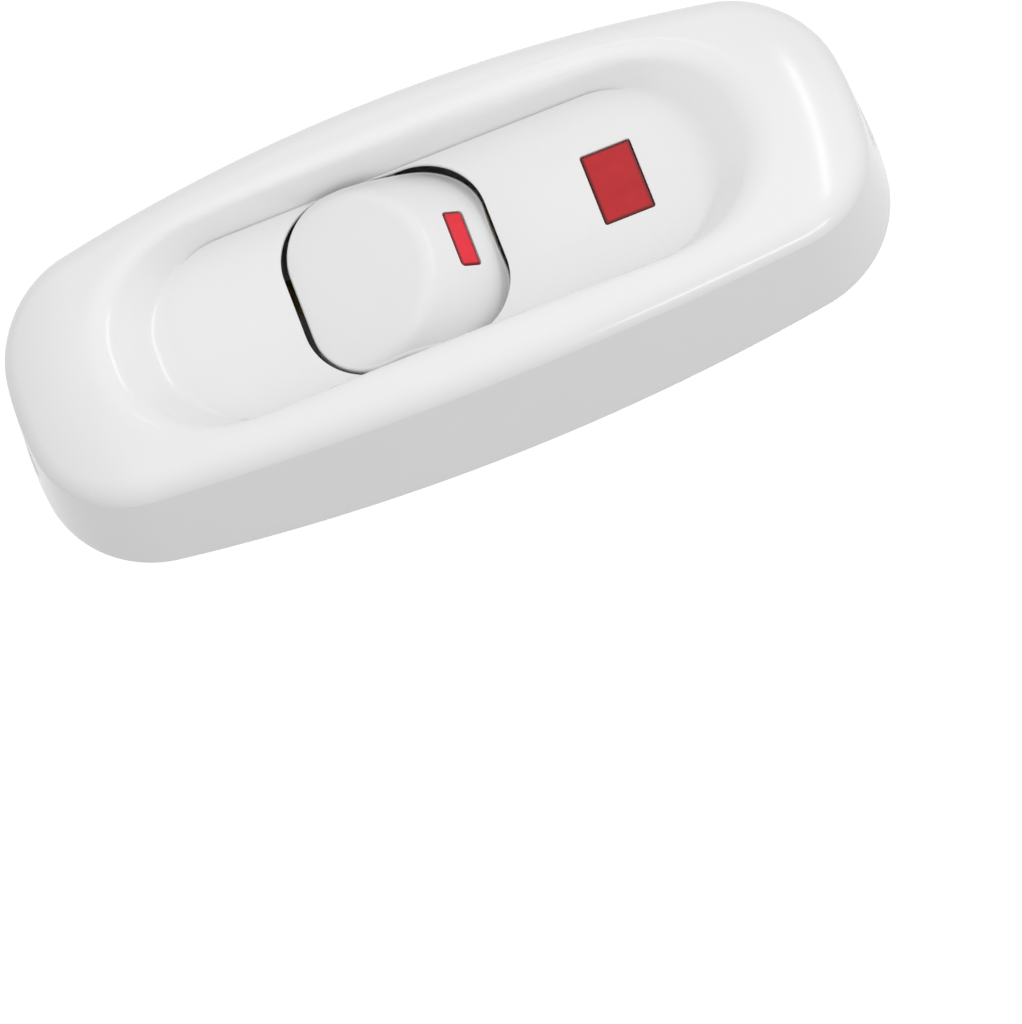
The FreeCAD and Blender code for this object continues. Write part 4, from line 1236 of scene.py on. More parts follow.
@dataclass
class Rocker:
    """The rocker button: a tilted round finger face, a sloping flank, a skirt, a stem and trunnions."""

    x: float = -4.35
    outline_shift: float = 0.2
    half_length: float = 10.85
    half_width: float = 10.24
    corner: float = 6.55
    face_slope: float = 20.0
    face_radius: float = 9.9
    face_x: float = -9.85
    face_height: float = 15.43
    flank_slope: float = 38.0
    crest_round: float = 2.0
    face_drop: float = 30.0
    edge_round: float = 0.32
    edge_steps: int = 6
    skirt_foot: float = 8.4
    skirt_steps: int = 8
    sweep: float = 11.27
    wall: float = 1.6
    roof: float = 2.0
    hollow_foot: float = 8.5
    hollow_rings: int = 24
    pivot_height: float = 10.3
    half_travel: float = 9.0
    trunnion_radius: float = 1.5
    trunnion_reach: float = 2.4
    trunnion_round: float = 0.2
    stem_radius: float = 2.6
    stem_drop: float = 2.9
    stem_rise: float = 5.6
    bore_radius: float = 1.75
    bore_rise: float = 2.2
    flag_offset: float = 7.7
    flag_half_length: float = 1.18
    flag_half_width: float = 3.2
    flag_depth: float = 1.1
    flag_round: float = 0.28
    flag_corner: float = 0.35
    flag_steps: int = 6
    flag_rings: tuple[float, ...] = (0.75, 0.5, 0.25)
    flag_gap: float = 0.12
    pocket_rise: float = 1.0
    rings: int = 84
    ring_ease: float = 1.15
    steps: int = 34
    sharp_degrees: float = 50.0

    def surface(self, x: np.ndarray, y: np.ndarray, sunk: float = 0.0) -> np.ndarray:
        """Give the height of the finger face and the flank.

        Args:
            x: Places along X.
            y: Places along Y.
            sunk: Distance that the face lies below its own plane, along its normal.

        Returns:
            The heights.
        """
        slope = math.radians(self.face_slope)
        flare = math.tan(math.radians(90 - self.face_slope - self.flank_slope))
        face_lean = math.cos(slope)
        side_lean = 1 / math.hypot(1, flare)
        turn = math.radians(self.face_slope + self.flank_slope) / 2
        blend = BLEND_PER_RADIUS * self.crest_round * (1 / math.cos(turn) - 1)
        centre_x = self.face_x + sunk * math.sin(slope)
        centre_z = self.face_height - sunk * math.cos(slope)

        def outside(height: np.ndarray) -> np.ndarray:
            """Measure how far heights lie outside the face and the flank.

            Args:
                height: Heights to try.

            Returns:
                The distances, above zero outside.
            """
            across, up = x - centre_x, height - centre_z
            depth = up * face_lean - across * math.sin(slope)
            along = across * face_lean + up * math.sin(slope)
            side = (np.hypot(along, y) - self.face_radius + depth * flare) * side_lean
            return soft_max(depth, side, blend)

        plane = centre_z + math.tan(slope) * (x - centre_x)
        return solve(outside, plane - self.face_drop, plane + HAIR)

    def middle(self, sunk: float = 0.0) -> tuple[float, float, float]:
        """Give the point of the face above the pivot, or of the hollow's roof below it."""
        height = self.surface(np.array([self.x]), np.zeros(1), sunk)
        return self.x, 0.0, float(height[0])

    def outline(self, inset: float) -> np.ndarray:
        """Give the rocker's plan outline, moved inwards."""
        return rounded_box(self.half_length - inset, self.half_width - inset, self.corner - inset,
                           self.steps, self.x + self.outline_shift)

    def swept(self, ring: np.ndarray) -> np.ndarray:
        """Draw points in so that the rocker clears its opening as it turns.

        Args:
            ring: Points in space, which are changed in place.

        Returns:
            The same points.
        """
        limit = np.sqrt(np.maximum(self.sweep ** 2 - (ring[:, 2] - self.pivot_height) ** 2, 0))
        ring[:, 0] = self.x + np.clip(ring[:, 0] - self.x, -limit, limit)
        return ring

    def add_skin(self, shell: Shell) -> None:
        """Add the rocker's outer face, rounded edge and skirt, and the hollow under it.

        Args:
            shell: Shell of the rocker.
        """
        centre = np.array([self.x, 0.0])
        edge = self.outline(self.edge_round)
        shares = 1 - (1 - np.linspace(0, 1, self.rings + 1)[1:]) ** self.ring_ease
        loops = []
        for share in shares:
            plan = centre + (edge - centre) * share
            loops.append(shell.loop(self.swept(at_height(plan, self.surface(*plan.T)))))
        shell.cap(loops[0], self.middle())
        rim = self.surface(*edge.T)
        for turn in quarter_turn(self.edge_steps)[1:]:
            plan = self.outline(self.edge_round * (1 - math.sin(turn)))
            drop = self.edge_round * (1 - math.cos(turn))
            loops.append(shell.loop(self.swept(at_height(plan, rim - drop))))
        plan = self.outline(0.0)
        for share in np.linspace(0, 1, self.skirt_steps + 1)[1:]:
            height = (rim - self.edge_round) * (1 - share) + self.skirt_foot * share
            loops.append(shell.loop(self.swept(at_height(plan, height))))
        hollow = self.outline(self.wall)
        loops.append(shell.loop(at_height(hollow, self.skirt_foot)))
        for share in np.linspace(1, 0, self.hollow_rings)[:-1]:
            plan = centre + (hollow - centre) * share
            height = np.maximum(self.surface(*plan.T, sunk=self.roof), self.hollow_foot)
            loops.append(shell.loop(at_height(plan, height)))
        shell.bridge_all(loops)
        shell.cap(loops[-1], self.middle(self.roof))

    def add_stem(self, shell: Shell) -> None:
        """Add the leaning bored stem and the two trunnions.

        Args:
            shell: Shell that gets them.
        """
        pivot = Matrix.Translation((self.x, 0, self.pivot_height))
        lean = pivot @ Matrix.Rotation(math.radians(-self.half_travel), 4, "Y")
        shell.lathe([(self.stem_radius, -self.stem_drop), (self.stem_radius, self.stem_rise),
                     (0.0, self.stem_rise), (0.0, self.bore_rise),
                     (self.bore_radius, self.bore_rise), (self.bore_radius, -self.stem_drop)], lean)
        start, end = self.half_width - self.wall, self.half_width + self.trunnion_reach
        radius, rounding = self.trunnion_radius, self.trunnion_round
        profile = [(0.0, start), (radius, start), (radius, end - rounding),
                   (radius - rounding, end), (0.0, end)]
        for angle in (-RIGHT_ANGLE, RIGHT_ANGLE):
            shell.lathe(profile, pivot @ Matrix.Rotation(angle, 4, "X"))

    def flag_ring(self, grow: float) -> np.ndarray:
        """Give the flag's outline in the flank's own plane, grown all round."""
        return rounded_box(self.flag_half_length + grow, self.flag_half_width + grow,
                           self.flag_corner + grow, self.flag_steps)

    def on_flank(self, ring: np.ndarray, lift: float) -> np.ndarray:
        """Carry points from the flank's plane onto the flank.

        Args:
            ring: Points along the slope and across it.
            lift: Distance above the flank.

        Returns:
            Points in space.
        """
        slope = math.radians(self.flank_slope)
        x = self.x + self.flag_offset + ring[:, 0] * math.cos(slope)
        height = self.surface(x, ring[:, 1])
        return np.column_stack([x + lift * math.sin(slope), ring[:, 1], height + lift * math.cos(slope)])

    def flank_stack(self, rows: list[tuple[np.ndarray, float]]) -> Shell:
        """Make a closed body from outlines in the flank's plane.

        Args:
            rows: Outlines and their distances above the flank, from the bottom to the top.

        Returns:
            The shell of the body.
        """
        shell = Shell()
        loops = [shell.loop(self.on_flank(ring, lift)) for ring, lift in rows]
        shell.bridge_all(loops)
        for loop, lift in ((loops[-1], rows[-1][1]), (loops[0], rows[0][1])):
            shell.cap(loop, tuple(self.on_flank(np.zeros((1, 2)), lift)[0]))
        return shell

    def build_flag(self) -> bpy.types.Object:
        """Make the red flag, flush with the flank and rounded along its edges.

        Returns:
            The object of the flag.
        """
        rows = [(self.flag_ring(0.0), -self.flag_depth)]
        for turn in quarter_turn(self.edge_steps):
            inset = self.flag_round * (1 - math.cos(turn))
            rows.append((self.flag_ring(-inset), -self.flag_round * (1 - math.sin(turn))))
        rows += [(self.flag_ring(-self.flag_round) * share, 0.0) for share in self.flag_rings]
        return self.flank_stack(rows).piece("flag_insert")

    def build(self) -> bpy.types.Object:
        """Make the rocker's mesh, with the pocket that the flag sits in.

        Returns:
            The object of the rocker.
        """
        shell = Shell()
        self.add_skin(shell)
        rocker = shell.piece("rocker_button", self.sharp_degrees)
        ring = self.flag_ring(self.flag_gap)
        pocket = self.flank_stack([(ring, -self.flag_depth - self.flag_gap), (ring, self.pocket_rise)])
        carve(rocker, pocket.piece("pocket"), self.sharp_degrees)
        stem = Shell()
        self.add_stem(stem)
        join(rocker, stem.piece("stem"))
        return rocker


@dataclass
class Window:
    """The red indicator window with its flange under the dish floor."""

    x: float = 20.7
    half_length: float = 2.74
    half_width: float = 4.11
    corner: float = 0.2
    least_corner: float = 0.05
    corner_steps: int = 5
    top: float = 14.2
    edge_round: float = 0.28
    edge_steps: int = 5
    flange: float = 1.38
    flange_top: float = 12.1
    flange_thickness: float = 1.0

    def build(self) -> bpy.types.Object:
        """Make the window's mesh.

        Returns:
            The object of the window.
        """
        shell = Shell()
        low = self.flange_top - self.flange_thickness
        rows = [(self.flange, low), (self.flange, self.flange_top), (0.0, self.flange_top)]
        for turn in quarter_turn(self.edge_steps):
            inset = self.edge_round * (1 - math.cos(turn))
            rows.append((-inset, self.top - self.edge_round * (1 - math.sin(turn))))
        loops = [self.ring(shell, grow, height) for grow, height in rows]
        shell.bridge_all(loops)
        shell.fill(loops[0], [])
        shell.fill(loops[-1], [])
        return shell.piece("indicator_window")

    def ring(self, shell: Shell, grow: float, height: float) -> list[int]:
        """Add the window's outline at a height, grown all round.

        Args:
            shell: Shell of the window.
            grow: Distance outwards.
            height: Height of the outline.

        Returns:
            The new points' numbers.
        """
        corner = max(self.corner + grow, self.least_corner)
        outline = rounded_box(self.half_length + grow, self.half_width + grow, corner,
                              self.corner_steps, self.x)
        return shell.loop(at_height(outline, height))


def grown_mesh(name: str, seats: list[tuple[float, float, float]], tree: bpy.types.GeometryNodeTree,
               values: dict[str, object]) -> bpy.types.Mesh:
    """Run a Geometry Nodes tree on points and keep the result as a plain mesh.

    Args:
        name: Name of the piece.
        seats: Points that the tree starts from, in metres.
        tree: Tree that makes the shape.
        values: The tree's inputs by name.

    Returns:
        The finished mesh, in metres.
    """
    mesh = bpy.data.meshes.new(name)
    mesh.from_pydata(seats, [], [])
    holder = bpy.data.objects.new(name, mesh)
    bpy.context.scene.collection.objects.link(holder)
    growth = holder.modifiers.new("growth", "NODES")
    growth.node_group = tree
    for socket in tree.interface.items_tree:
        if socket.in_out == "INPUT" and socket.name in values:
            growth[socket.identifier] = values[socket.name]
    grown = settled_mesh(holder)
    holder.modifiers.remove(growth)
    bpy.data.objects.remove(holder)
    return grown


class ScrewTree:
    """Geometry Nodes tree that sets threaded screws on points, with a slot or a cross in each head."""

    SIZES = ("Head Radius", "Head Height", "Head Round", "Shank Radius", "Shank Length", "Tip Length",
             "Thread Pitch", "Thread Depth", "Slot Length", "Slot Width", "Slot Depth", "Cross Turn",
             "Over Turn")
    HEAD_STEPS = (48, 14)
    SHANK_STEPS = (24, 72)
    TIP_SHARE = 0.5
    # The second cut is a little smaller, so that no faces of the two cuts share a plane.
    CUT_SHARES = (1.0, 0.97)
    # Places of the number sockets on a Random Value node, whose names are not unique.
    RANDOM_MAX, RANDOM_VALUE = 3, 1

    def __init__(self) -> None:
        """Build the tree with its named inputs."""
        self.tree = bpy.data.node_groups.new("screw_tree", "GeometryNodeTree")
        face = self.tree.interface
        face.new_socket("Seats", in_out="INPUT", socket_type="NodeSocketGeometry")
        for name in self.SIZES:
            face.new_socket(name, in_out="INPUT", socket_type="NodeSocketFloat")
        face.new_socket("Seed", in_out="INPUT", socket_type="NodeSocketInt")
        face.new_socket("Finish", in_out="INPUT", socket_type="NodeSocketMaterial")
        face.new_socket("Screws", in_out="OUTPUT", socket_type="NodeSocketGeometry")
        self.given = self.tree.nodes.new("NodeGroupInput").outputs
        whole = self.add("GeometryNodeJoinGeometry")
        for part in (self.head(), self.shank()):
            self.tree.links.new(part, whole.inputs[0])
        turn = self.add("FunctionNodeRandomValue")
        turn.inputs[self.RANDOM_MAX].default_value = 2 * math.pi
        self.tree.links.new(self.given["Seed"], turn.inputs["Seed"])
        heading = self.add("ShaderNodeCombineXYZ", self.given["Over Turn"], 0.0,
                           turn.outputs[self.RANDOM_VALUE])
        placed = self.add("GeometryNodeInstanceOnPoints")
        self.tree.links.new(self.given["Seats"], placed.inputs["Points"])
        self.tree.links.new(whole.outputs[0], placed.inputs["Instance"])
        self.tree.links.new(heading.outputs[0], placed.inputs["Rotation"])
        real = self.add("GeometryNodeRealizeInstances", placed.outputs[0])
        dressed = self.add("GeometryNodeSetMaterial", real.outputs[0])
        self.tree.links.new(self.given["Finish"], dressed.inputs["Material"])
        self.add("NodeGroupOutput", dressed.outputs[0])

    def add(self, kind: str, *values: object) -> bpy.types.Node:
        """Add a node and feed its inputs in order.

        Args:
            kind: Type of the node.
            values: Sockets or constants for its first inputs.

        Returns:
            The node.
        """
        node = self.tree.nodes.new(kind)
        for socket, value in zip(node.inputs, values):
            if isinstance(value, bpy.types.NodeSocket):
                self.tree.links.new(value, socket)
            else:
                socket.default_value = value
        return node

    def sum(self, operation: str, *values: object) -> bpy.types.NodeSocket:
        """Add a Math node and give its output.

        Args:
            operation: Blender's name of the operation.
            values: Sockets or numbers that it takes.

        Returns:
            The result's output.
        """
        node = self.add("ShaderNodeMath", *values)
        node.operation = operation
        return node.outputs[0]

    def cylinder(self, radius: bpy.types.NodeSocket, length: bpy.types.NodeSocket, around: int,
                 along: int) -> bpy.types.NodeSocket:
        """Add a cylinder that stands on the origin, with rings along its side.

        Args:
            radius: Output with its radius.
            length: Output with its length.
            around: Steps round its axis.
            along: Steps along its axis.

        Returns:
            The mesh output.
        """
        round_bar = self.add("GeometryNodeMeshCylinder", around, along, 1, radius, length)
        lift = self.add("ShaderNodeCombineXYZ", 0.0, 0.0, self.sum("DIVIDE", length, 2.0))
        return self.moved(round_bar.outputs["Mesh"], lift.outputs[0])

    def moved(self, mesh: bpy.types.NodeSocket, offset: bpy.types.NodeSocket) -> bpy.types.NodeSocket:
        """Move a mesh by an offset.

        Args:
            mesh: Mesh output.
            offset: Output with the offset.

        Returns:
            The moved mesh's output.
        """
        node = self.add("GeometryNodeSetPosition", mesh)
        self.tree.links.new(offset, node.inputs["Offset"])
        return node.outputs[0]

    def place(self) -> bpy.types.NodeOutputs:
        """Give each point's place along the three axes."""
        spot = self.add("GeometryNodeInputPosition")
        return self.add("ShaderNodeSeparateXYZ", spot.outputs[0]).outputs

    def thinned(self, mesh: bpy.types.NodeSocket, factor: bpy.types.NodeSocket) -> bpy.types.NodeSocket:
        """Scale a mesh about its axis by a factor for each point.

        Args:
            mesh: Mesh output.
            factor: Output with the factor.

        Returns:
            The scaled mesh's output.
        """
        spot = self.add("GeometryNodeInputPosition")
        scale = self.add("ShaderNodeCombineXYZ", factor, factor, 1.0)
        drawn = self.add("ShaderNodeVectorMath", spot.outputs[0], scale.outputs[0])
        drawn.operation = "MULTIPLY"
        node = self.add("GeometryNodeSetPosition", mesh)
        self.tree.links.new(drawn.outputs[0], node.inputs["Position"])
        return node.outputs[0]

    def head(self) -> bpy.types.NodeSocket:
        """Make the head: a disc with a rounded rim and a slot or a cross cut into its top.

        Returns:
            The head's mesh output.
        """
        names = ("Head Radius", "Head Height", "Head Round")
        radius, height, rounding = (self.given[name] for name in names)
        disc = self.cylinder(radius, height, *self.HEAD_STEPS)
        place = self.place()
        start = self.sum("SUBTRACT", height, rounding)
        share = self.sum("DIVIDE", self.sum("SUBTRACT", place[2], start), rounding)
        share = self.sum("MINIMUM", self.sum("MAXIMUM", share, 0.0), 1.0)
        arc = self.sum("SQRT", self.sum("SUBTRACT", 1.0, self.sum("MULTIPLY", share, share)))
        inset = self.sum("MULTIPLY", self.sum("SUBTRACT", 1.0, arc), rounding)
        disc = self.thinned(disc, self.sum("SUBTRACT", 1.0, self.sum("DIVIDE", inset, radius)))
        deep = self.sum("MULTIPLY", self.given["Slot Depth"], 2.0)
        for share, turn in zip(self.CUT_SHARES, (0.0, self.given["Cross Turn"])):
            sides = [self.sum("MULTIPLY", side, share)
                     for side in (self.given["Slot Length"], self.given["Slot Width"], deep)]
            size = self.add("ShaderNodeCombineXYZ", *sides)
            block = self.add("GeometryNodeMeshCube", size.outputs[0])
            spin = self.add("ShaderNodeCombineXYZ", 0.0, 0.0, turn)
            lift = self.add("ShaderNodeCombineXYZ", 0.0, 0.0, height)
            turned = self.add("GeometryNodeTransform")
            self.tree.links.new(block.outputs["Mesh"], turned.inputs["Geometry"])
            self.tree.links.new(lift.outputs[0], turned.inputs["Translation"])
            self.tree.links.new(spin.outputs[0], turned.inputs["Rotation"])
            cut = self.add("GeometryNodeMeshBoolean")
            cut.operation = "DIFFERENCE"
            cut.solver = "EXACT"
            self.tree.links.new(disc, cut.inputs["Mesh 1"])
            self.tree.links.new(turned.outputs[0], cut.inputs["Mesh 2"])
            disc = cut.outputs["Mesh"]
        return disc

    def shank(self) -> bpy.types.NodeSocket:
        """Make the shank below the head, with a thread that winds round it and a tapered tip.

        Returns:
            The shank's mesh output.
        """
        names = ("Shank Radius", "Shank Length", "Thread Pitch")
        radius, length, pitch = (self.given[name] for name in names)
        bar = self.cylinder(radius, length, *self.SHANK_STEPS)
        drop = self.add("ShaderNodeCombineXYZ", 0.0, 0.0, self.sum("MULTIPLY", length, -1.0))
        bar = self.moved(bar, drop.outputs[0])
        place = self.place()
        angle = self.sum("DIVIDE", self.sum("ARCTAN2", place[1], place[0]), 2 * math.pi)
        turns = self.sum("SUBTRACT", self.sum("DIVIDE", place[2], pitch), angle)
        wave = self.sum("COSINE", self.sum("MULTIPLY", turns, 2 * math.pi))
        share = self.sum("ADD", self.sum("MULTIPLY", wave, 0.5), 0.5)
        groove = self.sum("MULTIPLY", share, self.given["Thread Depth"])
        from_tip = self.sum("DIVIDE", self.sum("ADD", place[2], length), self.given["Tip Length"])
        widening = self.sum("MULTIPLY", from_tip, 1 - self.TIP_SHARE)
        taper = self.sum("MINIMUM", self.sum("ADD", widening, self.TIP_SHARE), 1.0)
        thin = self.sum("MULTIPLY", self.sum("SUBTRACT", 1.0, self.sum("DIVIDE", groove, radius)), taper)
        return self.thinned(bar, thin)


@dataclass
class Screws:
    """A set of equal screws; their seats come from the CAD nodes that they stand for."""

    name: str
    nodes: tuple[str, ...]
    head_radius: float
    head_height: float
    shank_radius: float
    shank_length: float
    slot_length: float
    crossed: bool = False
    overturned: bool = False
    seed: int = 5
    slot_width: float = 0.7
    slot_depth: float = 0.8
    head_round: float = 0.35
    tip_length: float = 1.2
    thread_pitch: float = 0.9
    thread_depth: float = 0.22
    sharp_degrees: float = 35.0

    def seats(self) -> list[tuple[float, float, float]]:
        """Give the points that the heads rest on, in metres.

        Returns:
            One point for each CAD node.
        """
        spots = []
        for node in self.nodes:
            low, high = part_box(node)
            head = self.head_height * MM
            seat = low.z + head if self.overturned else high.z - head
            spots.append(((low.x + high.x) / 2, (low.y + high.y) / 2, seat))
        return spots

    def build(self, screw_tree: ScrewTree, finish: bpy.types.Material) -> bpy.types.Object:
        """Grow the screws on their seats and keep them as a plain mesh.

        Args:
            screw_tree: Tree that makes the screws.
            finish: Material of the screws.

        Returns:
            The object of the screws, at the origin.
        """
        sizes = (self.head_radius, self.head_height, self.head_round,
                 self.shank_radius, self.shank_length, self.tip_length,
                 self.thread_pitch, self.thread_depth,
                 self.slot_length, self.slot_width, self.slot_depth)
        turns = (RIGHT_ANGLE if self.crossed else 0.0, math.pi if self.overturned else 0.0)
        values = dict(zip(ScrewTree.SIZES, (*(size * MM for size in sizes), *turns)))
        values |= {"Seed": self.seed, "Finish": finish}
        grown = grown_mesh(self.name, self.seats(), screw_tree.tree, values)
        return finish_mesh(grown, self.name, self.sharp_degrees)


@dataclass
class Spring:
    """The coil spring in the rocker's stem, wound at one length; the real spring shortens as the plunger
    slides in.
    """

    pivot: tuple[float, float, float] = (-4.35, 0.0, 10.3)
    lean: float = 9.0
    foot: float = -0.5
    height: float = 2.4
    pitch: float = 0.9
    coil_radius: float = 1.3
    wire_radius: float = 0.25
    bore_end: float = 2.2
    travel: float = 0.8
    joint: str = "plunger_slide"
    turn_steps: int = 40
    wire_steps: int = 14

    def tree(self) -> bpy.types.GeometryNodeTree:
        """Build the tree that winds a round wire into a helix, with named inputs for its sizes.

        Returns:
            The tree.
        """
        tree = bpy.data.node_groups.new("spring_tree", "GeometryNodeTree")
        face = tree.interface
        for name in ("Turns", "Coil Radius", "Height", "Wire Radius"):
            face.new_socket(name, in_out="INPUT", socket_type="NodeSocketFloat")
        face.new_socket("Finish", in_out="INPUT", socket_type="NodeSocketMaterial")
        face.new_socket("Spring", in_out="OUTPUT", socket_type="NodeSocketGeometry")
        given = tree.nodes.new("NodeGroupInput").outputs
        helix = tree.nodes.new("GeometryNodeCurveSpiral")
        helix.inputs["Resolution"].default_value = self.turn_steps
        for socket, name in (("Rotations", "Turns"), ("Start Radius", "Coil Radius"),
                             ("End Radius", "Coil Radius"), ("Height", "Height")):
            tree.links.new(given[name], helix.inputs[socket])
        section = tree.nodes.new("GeometryNodeCurvePrimitiveCircle")
        section.inputs["Resolution"].default_value = self.wire_steps
        tree.links.new(given["Wire Radius"], section.inputs["Radius"])
        wire = tree.nodes.new("GeometryNodeCurveToMesh")
        wire.inputs["Fill Caps"].default_value = True
        tree.links.new(helix.outputs[0], wire.inputs["Curve"])
        tree.links.new(section.outputs[0], wire.inputs["Profile Curve"])
        real = tree.nodes.new("GeometryNodeRealizeInstances")
        tree.links.new(wire.outputs[0], real.inputs[0])
        dressed = tree.nodes.new("GeometryNodeSetMaterial")
        tree.links.new(real.outputs[0], dressed.inputs["Geometry"])
        tree.links.new(given["Finish"], dressed.inputs["Material"])
        tree.links.new(dressed.outputs[0], tree.nodes.new("NodeGroupOutput").inputs[0])
        return tree

    def build(self, finish: bpy.types.Material) -> bpy.types.Object:
        """Wind the spring in the leaning stem.

        Args:
            finish: Material of the wire.

        Returns:
            The object of the spring, at the origin.
        """
        values = {"Turns": self.height / self.pitch, "Coil Radius": self.coil_radius * MM,
                  "Height": self.height * MM, "Wire Radius": self.wire_radius * MM, "Finish": finish}
        grown = grown_mesh("coil_spring", [(0.0, 0.0, 0.0)], self.tree(), values)
        stem = Matrix.Rotation(math.radians(-self.lean), 4, "Y")
        seat = Matrix.Translation(Vector(self.pivot) * MM)
        grown.transform(seat @ stem @ Matrix.Translation((0, 0, self.foot * MM)))
        return finish_mesh(grown, "coil_spring", SHARP_DEGREES)

    def press(self, piece: bpy.types.Object) -> None:
        """Give the spring its own copy of its mesh.

        Args:
            piece: Object of the spring.
        """
        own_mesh(piece)


@dataclass(frozen=True)
class Softbox:
    """A long soft light that faces the switch. Its sizes are in metres, and a radiance of 1 is white."""

    name: str
    start: tuple[float, float, float]
    end: tuple[float, float, float]
    width: float
    radiance: float

    def hang(self) -> None:
        """Add the light between its two ends."""
        first, last = Vector(self.start), Vector(self.end)
        middle, along = (first + last) / 2, last - first
        data = bpy.data.lights.new(self.name, "AREA")
        data.shape = "RECTANGLE"
        data.size, data.size_y = along.length, self.width
        data.energy = self.radiance * math.pi * along.length * self.width
        x = along.normalized()
        z = (middle - x * middle.dot(x)).normalized()
        light = bpy.data.objects.new(self.name, data)
        light.matrix_world = Matrix((x, z.cross(x), z)).transposed().to_4x4()
        light.location = middle
        bpy.context.scene.collection.objects.link(light)


@dataclass
class Studio:
    """Pale floor, soft light and the camera at the photograph's angle."""

    azimuth: float = 1.0
    elevation: float = 66.5
    roll: float = 22.4
    distance: float = 1.0
    pixels_per_mm: float = 9.53
    floor_centre_px: tuple[float, float] = (433.6, 253.6)
    image: tuple[int, int] = (1022, 1024)
    dish_floor: float = 14.3
    sensor: float = 36.0
    clip: tuple[float, float] = (0.01, 20.0)
    floor_half_metres: float = 3.0
    floor_drop: float = 0.02
    floor_grey: float = 0.08
    seen_grey: float = 0.2
    seen_glow: float = 0.9
    sky_level: float = 0.80
    sky_lean: tuple[float, float, float] = (0.06, -0.10, 0.22)
    lights: tuple[Softbox, ...] = (
        Softbox("right_strip", (0.80, -0.05, 0.77), (0.715, 0.60, 0.57), width=0.034, radiance=13.0),
        Softbox("front_strip", (0.15, -1.0, 0.06), (0.75, -0.72, 0.06), width=0.04, radiance=16.0),
        Softbox("back_strip", (0.14, 0.64, 0.86), (0.26, 0.62, 0.86), width=0.05, radiance=6.0),
    )

    def place_camera(self) -> None:
        """Put the camera where the dish floor's centre falls on its place in the picture."""
        a, e, roll = (math.radians(angle) for angle in (self.azimuth, self.elevation, self.roll))
        back = Vector((math.sin(a) * math.cos(e), -math.cos(a) * math.cos(e), math.sin(e)))
        level_right = Vector((math.cos(a), math.sin(a), 0))
        level_up = back.cross(level_right)
        right = level_right * math.cos(roll) - level_up * math.sin(roll)
        up = level_right * math.sin(roll) + level_up * math.cos(roll)
        centre = Vector((0, 0, self.dish_floor * MM))
        place = centre + back * self.distance
        across = (self.image[0] / 2 - self.floor_centre_px[0]) / self.pixels_per_mm * MM
        down = (self.image[1] / 2 - self.floor_centre_px[1]) / self.pixels_per_mm * MM
        target = centre + right * across - up * down
        z = (place - target).normalized()
        x = up.cross(z).normalized()
        y = z.cross(x)
        data = bpy.data.cameras.new("camera")
        data.sensor_width = self.sensor
        data.lens = self.pixels_per_mm / MM * self.distance * self.sensor / max(self.image)
        data.clip_start, data.clip_end = self.clip
        camera = bpy.data.objects.new("camera", data)
        camera.matrix_world = Matrix((x, y, z)).transposed().to_4x4()
        camera.location = place
        bpy.context.scene.collection.objects.link(camera)
        bpy.context.scene.camera = camera

    def seen(self, tree: bpy.types.NodeTree) -> bpy.types.NodeSocket:
        """Give 1 for rays from the camera, and for what gloss and glass show of the backdrop.

        Args:
            tree: Tree that gets the nodes.

        Returns:
            Output of 0 or 1.
        """
        path = tree.nodes.new("ShaderNodeLightPath")
        last = path.outputs["Is Camera Ray"]
        for name in ("Is Glossy Ray", "Is Transmission Ray"):
            both = tree.nodes.new("ShaderNodeMath")
            both.operation = "MAXIMUM"
            tree.links.new(last, both.inputs[0])
            tree.links.new(path.outputs[name], both.inputs[1])
            last = both.outputs[0]
        return last

    def lay_floor(self) -> None:
        """Lay a floor that looks white and keeps the switch's soft shadow, a hair below the feet."""
        half, level = self.floor_half_metres, -self.floor_drop * MM
        mesh = bpy.data.meshes.new("floor")
        signs = ((-1, -1), (1, -1), (1, 1), (-1, 1))
        mesh.from_pydata([(x * half, y * half, level) for x, y in signs], [], [(0, 1, 2, 3)])
        floor = bpy.data.objects.new("floor", mesh)
        bpy.context.scene.collection.objects.link(floor)
        material = bpy.data.materials.new("floor_white")
        material.use_nodes = True
        tree = material.node_tree
        tree.nodes.clear()
        plain = tree.nodes.new("ShaderNodeBsdfDiffuse")
        faint = tree.nodes.new("ShaderNodeBsdfDiffuse")
        for matt, grey in ((plain, self.floor_grey), (faint, self.seen_grey)):
            matt.inputs["Color"].default_value = (grey, grey, grey, 1)
        glow = tree.nodes.new("ShaderNodeEmission")
        glow.inputs["Strength"].default_value = self.seen_glow
        shown = tree.nodes.new("ShaderNodeAddShader")
        tree.links.new(faint.outputs[0], shown.inputs[0])
        tree.links.new(glow.outputs[0], shown.inputs[1])
        mix = tree.nodes.new("ShaderNodeMixShader")
        tree.links.new(self.seen(tree), mix.inputs["Fac"])
        tree.links.new(plain.outputs[0], mix.inputs[1])
        tree.links.new(shown.outputs[0], mix.inputs[2])
        output = tree.nodes.new("ShaderNodeOutputMaterial")
        tree.links.new(mix.outputs[0], output.inputs["Surface"])
        mesh.materials.append(material)

